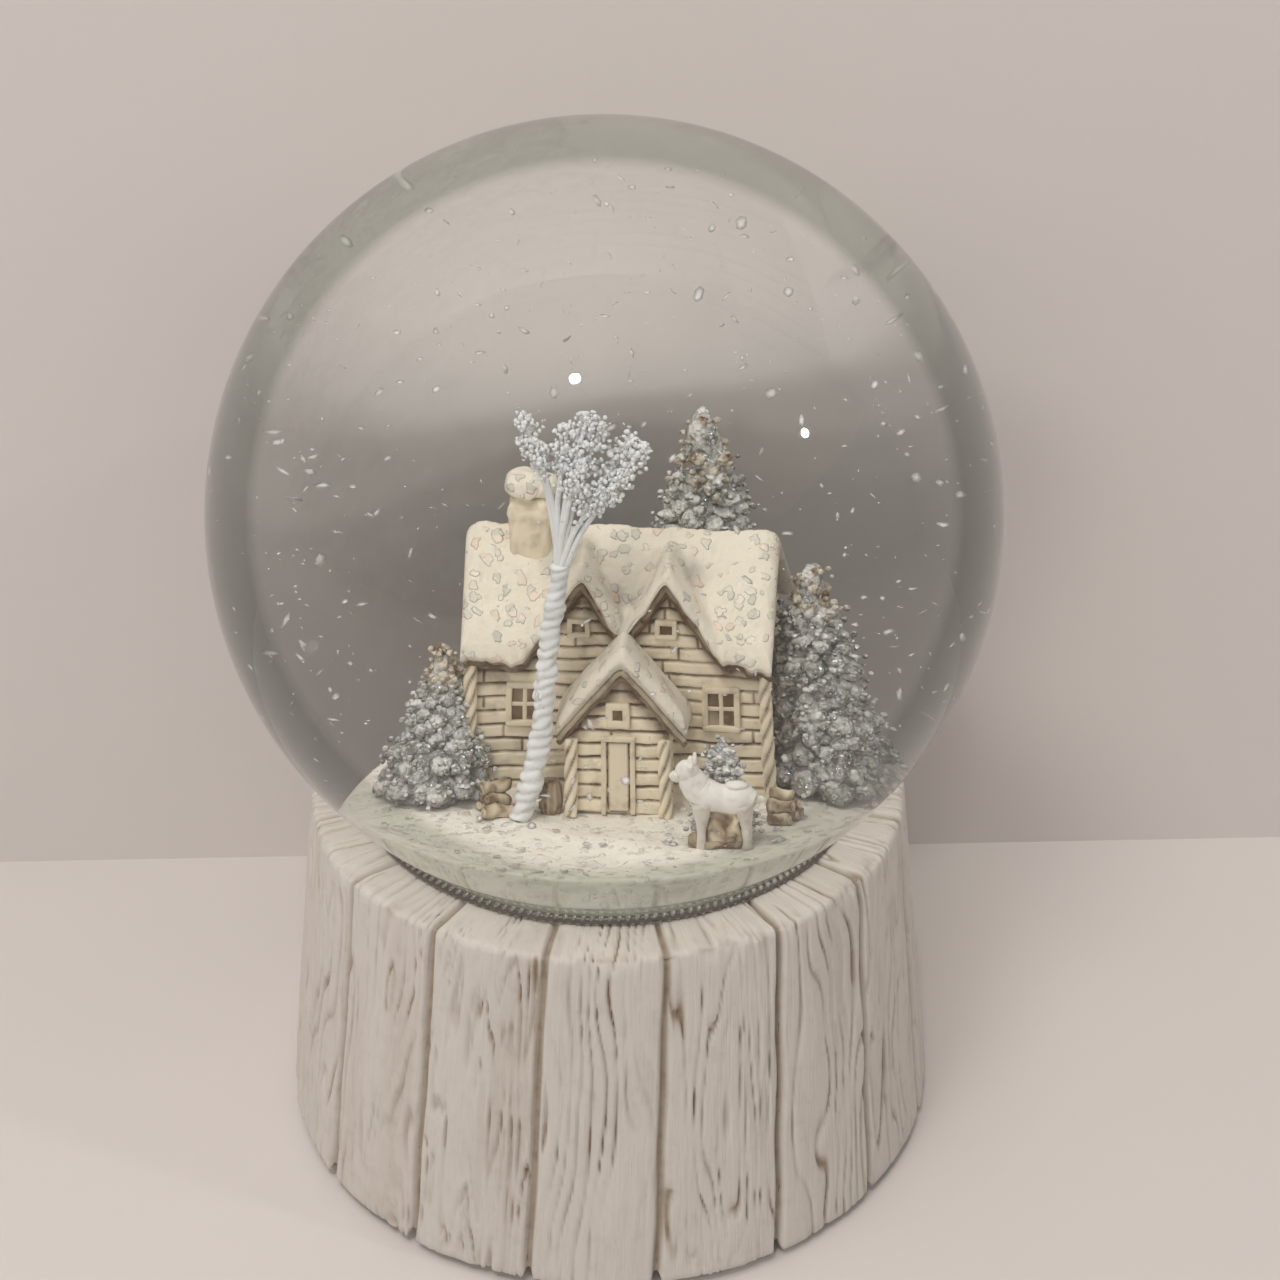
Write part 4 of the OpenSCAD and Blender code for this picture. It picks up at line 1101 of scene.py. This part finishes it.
# A soft-edged block, wider at its foot, with stones pressed in as rounded cells
def chimneyStack():
    middle, tall = (stack["low"] + stack["high"]) / 2, (stack["high"] - stack["low"]) / 2
    points = blobs([(stack["x"], stack["y"], middle)], [(*stack["half"], tall)], None, 0.35, 60, 60)
    stones = ripple(points * (1, 1, 1.5), 1.5, 61, 3)
    points = roughened(points, 0.16, 0.8, 60)
    outwards = points - [stack["x"], stack["y"], 0]
    points[..., :2] += outwards[..., :2] * (0.05 * np.clip(stones, -1, 1))[..., None]
    return makePiece("chimneyStack", [gridPart(placed(points), np.clip(-stones * 0.28, 0, 0.3))],
                     [cabinPaint])


# Snow on the chimney: a flattened ball with a soft collar that sags at its corners
def chimneySnow():
    centres = [(stack["x"] - 0.6, stack["y"], 34.9), (stack["x"] + 1.0, stack["y"] + 0.2, 34.6)]
    points = blobs(centres, [(2.3, 2.4, 1.5), (2.0, 2.2, 1.3)], None, 0.75, 36, 24)
    return makePiece("chimneySnow", [gridPart(placed(roughened(points, 0.22, 0.9, 63)))], [roofSnow])


stackPiece = chimneyStack()
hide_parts("chimney")
stackSnow = chimneySnow()
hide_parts("chimney_cap")
print("roof snow and chimney made")


# Firs

firs = {"firBack": {"node": "fir_back", "at": (9.0, 12.6), "height": 39.5, "radius": 11.0, "boughs": 380,
                    "bare": 0.77,
                    "blunt": 0.72, "seed": 70},
        "firRight": {"node": "fir_right", "at": (21.0, -2.0), "height": 26.4, "radius": 7.2, "boughs": 260,
                     "bare": 0.76,
                     "blunt": 0.6, "seed": 71},
        "firLeft": {"node": "fir_left", "at": (-20.2, -5.4), "height": 17.8, "radius": 6.4, "boughs": 210,
                    "bare": 0.72,
                    "blunt": 0.7, "seed": 72},
        "frostShrub": {"node": "shrub", "at": (11.0, -20.2), "height": 11.4, "radius": 3.5, "boughs": 130,
                       "bare": 1.2,
                       "blunt": 0.38, "seed": 73}}


# A dark cone set with drooping boughs at steps of the golden angle. They crowd towards the foot, each is a
# lumpy pod that reaches from the core out to the tree's outline, and each ends in two or three small buds
def firPiece(name, values):
    rng = np.random.default_rng(values["seed"])
    count, tall, radius = values["boughs"], values["height"], values["radius"]
    share = 1 - np.sqrt(1 - (np.arange(count) + 0.5) / count)
    turn = np.arange(count) * 2.39996 + rng.uniform(-0.3, 0.3, count)
    z = share * tall * 0.93
    reach = radius * (1 - share) ** values["blunt"] * rng.uniform(0.78, 1.06, count) + 0.2
    droop = rng.uniform(-0.45, -0.1, count) + share * 0.35
    ahead = np.stack([np.cos(turn), np.sin(turn), droop], -1)
    long = reach * 0.24 + 0.75
    axis = np.array([cabinMiddle[0] + values["at"][0], cabinMiddle[1] + values["at"][1], snowTop])
    centres = axis + np.stack([ahead[:, 0] * (reach - long), ahead[:, 1] * (reach - long),
                               z + 0.8 + 0.06 * reach], -1)
    thick = long * rng.uniform(0.45, 0.68, count) + 0.15
    pods = blobs(centres, np.stack([long, thick, thick * 0.72], -1), aimed(ahead), 1, 10, 6)
    buds = np.repeat(np.arange(count), 3)
    spread = rng.normal(0, 0.36, (len(buds), 3)) * (thick[buds, None] + 0.25)
    reached = long[buds] * rng.uniform(0.45, 1.0, len(buds))
    tips = centres[buds] + ahead[buds] * reached[:, None] + spread + [0, 0, 0.2]
    beads = blobs(tips, rng.uniform(0.24, 0.46, (len(buds), 1)) * (1, 1, 0.8), None, 1, 6, 4)
    rows = np.linspace(0.02, 0.97, 20)
    core, _ = tubes((axis + np.stack([0 * rows, 0 * rows, rows * tall * 0.97], -1))[None],
                    radius * 0.66 * (1 - rows) ** values["blunt"] + 0.1, 24)
    pods = roughened(pods, 0.26, 1.1, values["seed"])
    bare = ease(z / tall, values["bare"] - 0.16, values["bare"] + 0.1)[:, None, None]
    parts = [gridPart(pods, 0.95 - bare), gridPart(beads, (0.8 - bare[buds])),
             gridPart(roughened(core, 0.3, 0.9, 5), 1.0)]
    return makePiece(name, parts, [firPaint])


for name, values in firs.items():
    tree = firPiece(name, values)
    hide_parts(values["node"])
print("firs made")


# Frosted trunk

trunk = {"foot": (-11.8, -14.2, 0.0), "fork": (-7.4, -14.2, 31.5), "beads": 1700, "bead": (0.17, 0.36),
         "wires": [(-11.5, -14.2, 50.4, 7.0), (-10.2, -14.6, 47.2, 6.0), (-6.2, -13.6, 49.0, 7.5),
                   (-3.9, -14.4, 50.6, 9.0), (-2.4, -13.8, 49.2, 8.5), (-4.6, -15.4, 44.6, 7.0),
                   (2.5, -14.0, 46.2, 8.0), (1.2, -13.4, 47.0, 8.0), (0.3, -14.8, 43.4, 7.0),
                   (-2.6, -14.9, 41.2, 5.5)]}


def cabinward(point):
    return np.array(point[:3], float) + [cabinMiddle[0], cabinMiddle[1], snowTop]


# Two strands of white wire twisted together, swelling towards the foot, that part into bent wires
def frostedTrunk():
    foot, fork = cabinward(trunk["foot"]), cabinward(trunk["fork"])
    t = np.linspace(0, 1, 150)[:, None]
    sway = np.concatenate([0.35 * np.sin(t * 7), 0 * t, 0 * t], 1)
    path = foot + (fork - foot) * t + [0.6, 0, 0] * (t * (1 - t) * 4) * [1, 1, 0] + sway
    thick = 1.42 - 0.25 * t[:, 0] + 0.10 * ripple(t * 30, 1.0, 80, 2)
    stem, groove = tubes(path[None], thick, 26, 2, 5.0, 0.22)
    ends = np.array([cabinward(w) for w in trunk["wires"]])
    start = path[-14][None] + np.random.default_rng(81).normal(0, 0.35, (len(ends), 3)) * (1, 0.6, 1)
    s = np.linspace(0, 1, 22)[None, :, None]
    bow = np.array([0.9, 0.3, 0.0]) * np.sin(s * np.pi) * np.sign(start[:, None, :1] - ends[:, None, :1])
    wires = start[:, None] + (ends - start)[:, None] * s + bow
    bars, _ = tubes(wires, np.linspace(0.5, 0.22, 22)[None, :] * np.ones((len(ends), 1)), 8)
    parts = [gridPart(roughened(stem, 0.2, 1.1, 82), np.clip(groove, 0, 1) ** 2 * 0.5),
             gridPart(roughened(bars, 0.07, 1.2, 83))]
    return makePiece("frostedTrunk", parts, [frostPaint]), wires


# Frost: beads crowd round the outer part of each wire, strung in a loose sleeve that fattens towards its end
def frostBeads(wires):
    rng = np.random.default_rng(85)
    count = trunk["beads"]
    which = rng.integers(0, len(wires), count)
    along = 1.02 - rng.uniform(0, 1, count) ** 1.25 * np.array([w[3] for w in trunk["wires"]])[which] / 24
    rows = np.clip(along * 21, 0, 20.99)
    low = np.floor(rows).astype(int)
    part = (rows - low)[:, None]
    spot = wires[which, low] * (1 - part) + wires[which, np.minimum(low + 1, 21)] * part
    sleeve = 1.15 * np.sin(np.clip((1.06 - along) * 9, 0.25, np.pi / 2))[:, None]
    spot = spot + rng.normal(0, 0.66, (count, 3)) * sleeve * (1, 0.8, 1)
    sizes = rng.uniform(*trunk["bead"], (count, 1)) * rng.uniform(0.75, 1.2, (count, 3))
    beads = blobs(spot, sizes, None, 1, 6, 4)
    return makePiece("frostBeads", [gridPart(roughened(beads, 0.08, 2.4, 86))], [frostPaint])


trunkPiece, wirePaths = frostedTrunk()
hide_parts("frosted_trunk")
beadPiece = frostBeads(wirePaths)
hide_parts("frost_clusters")
print("trunk and frost made")


# Deer

deer = {"at": (11.2, -23.6), "facing": -1}


# A standing deer: a barrel body, a neck and head carried high, four legs, ears and short antlers; a rough
# brown stump between the legs holds it up
def standingDeer():
    x0, y0 = cabinMiddle[0] + deer["at"][0], cabinMiddle[1] + deer["at"][1]
    spot = np.array([x0, y0, snowTop])
    ahead = np.array([deer["facing"], 1, 1])
    body = np.array([(-3.3, 0, 5.3), (-2.2, 0, 5.8), (0, 0, 5.9), (1.9, 0, 6.2), (2.7, 0, 6.8),
                     (3.3, 0, 7.9), (3.7, 0, 8.8)])
    thick = np.array([1.1, 1.75, 1.75, 1.85, 1.7, 1.45, 1.25])
    t = np.linspace(0, len(body) - 1, 40)
    path = np.stack([np.interp(t, range(len(body)), body[:, k]) for k in range(3)], -1)
    trunkBody, _ = tubes((path * ahead + spot)[None], np.interp(t, range(len(body)), thick), 20)
    head = blobs([(4.1, 0, 9.3), (5.2, 0, 8.7)], [(1.5, 1.35, 1.3), (1.05, 0.8, 0.75)], None, 1, 18, 12)
    ears = blobs([(3.6, -1.25, 10.2), (3.6, 1.25, 10.2), (3.2, -0.5, 10.7), (3.2, 0.5, 10.7)],
                 [(0.4, 0.6, 0.4), (0.4, 0.6, 0.4), (0.26, 0.26, 0.7), (0.26, 0.26, 0.7)], None, 1, 8, 6)
    tail = blobs([(-4.2, 0, 5.6), (-1.6, 0, 7.4)], [(0.7, 0.45, 0.5), (1.5, 1.2, 0.5)], None, 1, 12, 6)
    legs = np.stack([straight((x, y, -0.2), (x * 0.9, y, 5.4), 12) for x in (-2.7, 2.7)
                     for y in (-0.95, 0.95)])
    legBars, _ = tubes(legs * ahead + spot,
                       np.interp(np.linspace(0, 1, 12), [0, 0.1, 0.5, 1], [0.75, 0.55, 0.6, 1.1]), 10)
    rock = roughened(blobs([(-0.3, 0.2, 2.2)], [(1.9, 1.2, 2.3)], None, 0.45, 40, 28), 0.55, 1.2, 91)
    kerb = roughened(blobs([(0.2, 0, 0.3), (3.3, -0.4, 0.9)], [(2.4, 1.5, 0.6), (0.8, 0.9, 1.0)], None, 0.8,
                           16, 10), 0.25, 1.0, 92)
    bark = np.clip(0.5 + 1.0 * ripple(rock, 1.5, 93, 3), 0.0, 1)
    parts = [gridPart(roughened(trunkBody, 0.2, 0.9, 94), 0.03)]
    parts += [gridPart(roughened(p * ahead + spot, 0.12, 1.1, 95), 0.04) for p in (head, ears, tail)]
    parts += [gridPart(roughened(legBars, 0.14, 1.0, 96), 0.3), gridPart(rock * ahead + spot, bark, 1),
              gridPart(kerb * ahead + spot, 0.6, 1)]
    return makePiece("standingDeer", parts, [deerPaint, logPaint])


deerPiece = standingDeer()
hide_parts("deer")


# Log heaps

heaps = {"piles": [(-14.6, -11.8, 25.0, 6), (17.4, -14.4, -20.0, 6)], "barrel": (-8.4, -12.2, 1.3, 3.6)}


# Short logs stacked three, two and one, with growth rings on their cut ends, and a barrel by the porch
def logHeaps():
    rng = np.random.default_rng(98)
    paths, radii = [], []
    for x, y, turn, count in heaps["piles"]:
        a = math.radians(turn)
        along, over = np.array([math.cos(a), math.sin(a), 0]), np.array([-math.sin(a), math.cos(a), 0])
        for k in range(count):
            row, place = ((0, k - 1), (1, k - 3.5), (2, 0))[0 if k < 3 else 1 if k < 5 else 2]
            r = 0.66 + rng.uniform(-0.12, 0.12)
            middle = np.array([cabinMiddle[0] + x, cabinMiddle[1] + y,
                               snowTop + 0.7 + row * 1.15]) + over * place * 1.4
            half = along * (1.7 + rng.uniform(-0.3, 0.3))
            tilt = np.array([0, 0, rng.uniform(-0.15, 0.15)])
            paths.append(straight(middle - half - tilt, middle + half + tilt, 12))
            radii.append(r)
    paths, radii = np.stack(paths), np.array(radii)[:, None]
    ends = np.array([0.45, 0.85, 1, 1.04, 1, 0.97, 1, 1.03, 1, 1, 0.85, 0.45])
    for end, beside in ((0, 1), (-1, -2)):
        paths[:, beside] = paths[:, end] + (paths[:, beside] - paths[:, end]) * 0.05
    bars, _ = tubes(paths, radii * ends, 14, level=(0, 0, 1))
    wash = np.zeros(bars.shape[:-1]) + 0.35
    wash[..., [0, 2, 11, 13]] = 0.9
    x, y, r, tall = heaps["barrel"]
    foot = np.array([cabinMiddle[0] + x, cabinMiddle[1] + y, snowTop])
    rows = np.linspace(0, 1, 24)
    barrel, groove = tubes(straight(foot, foot + [0, 0, tall], 24)[None],
                           r * (0.82 + 0.25 * np.sin(rows * np.pi)), 30, 10, 0, 0.25)
    wash = np.clip(wash + 0.5 * ripple(bars, 1.3, 101, 3), 0, 1)
    parts = [gridPart(roughened(bars, 0.22, 1.1, 99), wash),
             gridPart(roughened(barrel, 0.12, 1.2, 97), 0.5 + 0.5 * groove)]
    return makePiece("logHeaps", parts, [logPaint])


heapPiece = logHeaps()
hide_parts("log_piles")
print("deer and log heaps made")


# Flakes

flakes = {"drifting": 1000, "settled": 420, "size": (0.16, 0.95), "seed": 110}


# Thin irregular flakes: some hang in the liquid clear of the scene, more of them low down; the rest lie on
# the snow
def snowFlakes():
    rng = np.random.default_rng(flakes["seed"])
    tries = rng.uniform(-1, 1, (14000, 3)) * (ballRadius - 4)
    tries = tries[np.linalg.norm(tries, axis=1) < ballRadius - 4.2] + [0, 0, ballCentre]
    inScene = (np.abs(tries[:, 0] - 1) < 27) & (tries[:, 1] > -20) & (tries[:, 2] < snowTop + 34)
    likely = rng.uniform(0, 1, len(tries)) < 1.15 - (tries[:, 2] - snowTop) / 110
    keep = (tries[:, 2] > snowTop + 3) & ~inScene & likely
    afloat = tries[keep][:flakes["drifting"]]
    turn = rng.uniform(0, 2 * math.pi, flakes["settled"])
    out = moundRadius * np.sqrt(rng.uniform(0.05, 0.97, flakes["settled"]))
    lying = np.stack([moundX + out * np.cos(turn), out * np.sin(turn), 0 * out + snowTop + 0.32], -1)
    lying = lying[(lying[:, 1] < -2) | (rng.uniform(0, 1, len(lying)) < 0.2)]
    lying = lying[~((np.abs(lying[:, 0] - cabinMiddle[0]) < 7.5) & (lying[:, 1] > -4.5))]
    centres = np.concatenate([afloat, lying])
    count = len(centres)
    tilt = np.concatenate([rng.normal(0, 1, (len(afloat), 3)),
                           rng.normal(0, 1, (len(lying), 3)) * (1, 1, 0.12)])
    wide = flakes["size"][0] + (flakes["size"][1] - flakes["size"][0]) * rng.uniform(0, 1, (count, 1)) ** 3
    sizes = np.concatenate([wide, wide * rng.uniform(0.45, 1, (count, 1)), np.full((count, 1), 0.05)], 1)
    shapes = blobs(centres, sizes, aimed(tilt), 1, 6, 2)
    return makePiece("snowFlakes", [gridPart(roughened(shapes, 0.12, 2.6, 111))], [flakePaint()])


# Matt white film, slightly see-through, some flakes warmer than others
def flakePaint():
    material, nodes, links, shader = newMaterial("flakePaint")
    tone = noiseNode(nodes, links, objectCoords(nodes), 240, 2)
    links.new(mixColour(nodes, links, rampNode(nodes, links, tone, 0.45, 0.6), (0.80, 0.79, 0.76),
                        (0.93, 0.93, 0.92)),
              shader.inputs["Base Color"])
    links.new(mathNode(nodes, links, "MULTIPLY_ADD", tone, -0.3, 0.5), shader.inputs["Roughness"])
    links.new(mathNode(nodes, links, "MULTIPLY_ADD", tone, 0.9, 0.08), shader.inputs["Alpha"])
    return material


flakePiece = snowFlakes()
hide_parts("snow_flakes")


# Braid at the neck

braid = {"stitches": 190, "slant": 42.0, "colour": (0.42, 0.40, 0.37)}


# Two rows of slanted stitches round the neck, leaning opposite ways like a plait
def neckBraid():
    low, high = boxMm("trim_cord")
    ring = (high[0] - low[0]) / 2 - (high[2] - low[2]) / 2
    middle = (low[2] + high[2]) / 2
    half = (high[2] - low[2]) / 2
    turn = np.arange(braid["stitches"]) * 2 * math.pi / braid["stitches"]
    lean = math.radians(braid["slant"])
    parts = []
    for row, sign in ((0, 1), (1, -1)):
        a = turn + row * math.pi / braid["stitches"]
        centres = np.stack([(ring + 0.1) * np.sin(a), -(ring + 0.1) * np.cos(a),
                            0 * a + middle + sign * half * 0.42], -1)
        along = np.stack([np.cos(a) * math.cos(lean), np.sin(a) * math.cos(lean),
                          0 * a + sign * math.sin(lean)], -1)
        stitches = blobs(centres, [(half * 0.92, half * 0.62, half * 0.42)], aimed(along), 0.9, 8, 6)
        parts.append(gridPart(stitches, 0.2))
    a = np.linspace(0, 2 * math.pi, 121)
    ringPath = np.stack([ring * np.sin(a), -ring * np.cos(a), 0 * a + middle], -1)
    t = np.linspace(0, 2 * math.pi, 13)[None, :, None]
    outwards = np.stack([np.sin(a), -np.cos(a), 0 * a], -1)[:, None]
    core = ringPath[:, None] + half * 0.8 * (np.cos(t) * outwards + np.sin(t) * np.array([0, 0, 1.0]))
    # Painted shade: the core that shows between the stitches is washed dull
    parts.append(gridPart(core, 0.8))
    return makePiece("neckBraid", parts, [metalThread()])


def metalThread():
    material, nodes, links, shader = newMaterial("metalThread")
    fine = noiseNode(nodes, links, objectCoords(nodes), 1600, 3)
    # Fine noise varies the metal's tone; the wash attribute paints shade on the core between the stitches
    shade = mathNode(nodes, links, "MULTIPLY_ADD", fine, 0.5, washOf(nodes), clamp=True)
    bright = tuple(c * 1.5 for c in braid["colour"])
    dull = tuple(c * 0.5 for c in braid["colour"])
    links.new(mixColour(nodes, links, shade, bright, dull), shader.inputs["Base Color"])
    shader.inputs["Metallic"].default_value = 0.85
    links.new(mathNode(nodes, links, "MULTIPLY_ADD", fine, 0.25, 0.28), shader.inputs["Roughness"])
    links.new(bumpNode(nodes, links, fine, 0.0001, 0.8), shader.inputs["Normal"])
    return material


braidPiece = neckBraid()
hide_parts("trim_cord")
print("flakes and braid made")


# Finishes for the parts kept from the frame

# Metal with turning or brushing marks along one axis, a few darker stains and softly changing roughness
def workedMetal(name, colour, stretch, rough=0.3, stain=0.35):
    material, nodes, links, shader = newMaterial(name)
    coords = objectCoords(nodes)
    marks = noiseNode(nodes, links, stretched(nodes, links, coords, stretch), 900, 3)
    stains = rampNode(nodes, links, noiseNode(nodes, links, coords, 160, 4), 0.45, 0.8)
    amount = mathNode(nodes, links, "MULTIPLY", stains, stain)
    links.new(mixColour(nodes, links, amount, colour, tuple(c * 0.45 for c in colour)),
              shader.inputs["Base Color"])
    shader.inputs["Metallic"].default_value = 1
    links.new(mathNode(nodes, links, "MULTIPLY_ADD", marks, 0.24, rough - 0.1), shader.inputs["Roughness"])
    links.new(bumpNode(nodes, links, marks, 0.00006, 0.6), shader.inputs["Normal"])
    return material


# Moulded or woven stuff: two tones through noise, with a grain that may be fine (plastic) or coarse (felt)
def mouldedStuff(name, colour, other, grain, depth, rough):
    material, nodes, links, shader = newMaterial(name)
    coords = objectCoords(nodes)
    tone = noiseNode(nodes, links, coords, 120, 4)
    links.new(mixColour(nodes, links, rampNode(nodes, links, tone, 0.35, 0.7), colour, other),
              shader.inputs["Base Color"])
    pores = noiseNode(nodes, links, coords, grain, 4)
    links.new(mathNode(nodes, links, "MULTIPLY_ADD", pores, 0.2, rough - 0.1), shader.inputs["Roughness"])
    links.new(bumpNode(nodes, links, pores, depth, 0.7), shader.inputs["Normal"])
    return material


def dressFrame():
    brass = workedMetal("movementBrass", (0.66, 0.46, 0.18), (1, 1, 12))
    plated = workedMetal("platedSteel", (0.62, 0.61, 0.58), (10, 1, 1), 0.34)
    ground = workedMetal("groundSteel", (0.48, 0.49, 0.51), (1, 14, 1), 0.26, 0.2)
    zinc = workedMetal("zincScrews", (0.60, 0.61, 0.60), (1, 1, 3), 0.36, 0.5)
    keyBrass = workedMetal("keyBrass", (0.62, 0.44, 0.17), (3, 1, 1), 0.3, 0.4)
    finishes = {
        "blackPlastic": (mouldedStuff("blackPlastic", (0.035, 0.035, 0.036), (0.05, 0.05, 0.05), 1400,
                                      0.00008, 0.5),
                         ["bottom_plate"]),
        "felt": (mouldedStuff("felt", (0.030, 0.045, 0.035), (0.055, 0.07, 0.055), 2600, 0.0004, 0.95),
                 ["felt_pads"]),
        "stopper": (mouldedStuff("stopperRubber", (0.55, 0.56, 0.52), (0.46, 0.47, 0.43), 900, 0.0001, 0.6),
                    ["stopper"]),
        "glue": (mouldedStuff("amberGlue", (0.58, 0.42, 0.20), (0.46, 0.30, 0.12), 500, 0.0002, 0.3),
                 ["adhesive_ring"]),
        "fly": (mouldedStuff("flyPlastic", (0.80, 0.78, 0.72), (0.72, 0.70, 0.64), 1200, 0.00005, 0.45),
                ["fly"]),
        "brass": (brass, ["spring_barrel", "great_wheel", "drum", "drum_wheel", "worm_wheel"]),
        "plated": (plated, ["bedplate", "drum_post", "end_posts", "governor_frame"]),
        "ground": (ground, ["mainspring", "comb", "winding_arbor", "drum_pins", "drum_pinion",
                            "counter_shaft",
                            "counter_pinion", "fly_shaft", "worm"]),
        "zinc": (zinc, ["plate_screws", "movement_screws", "comb_screws"]),
        "key": (keyBrass, ["winding_key"])}
    for material, nodeNames in finishes.values():
        for nodeName in nodeNames:
            kept = bpy.data.objects[nodeName]
            for place in kept.material_slots:
                place.material = material


dressFrame()
print("movement and base parts finished")
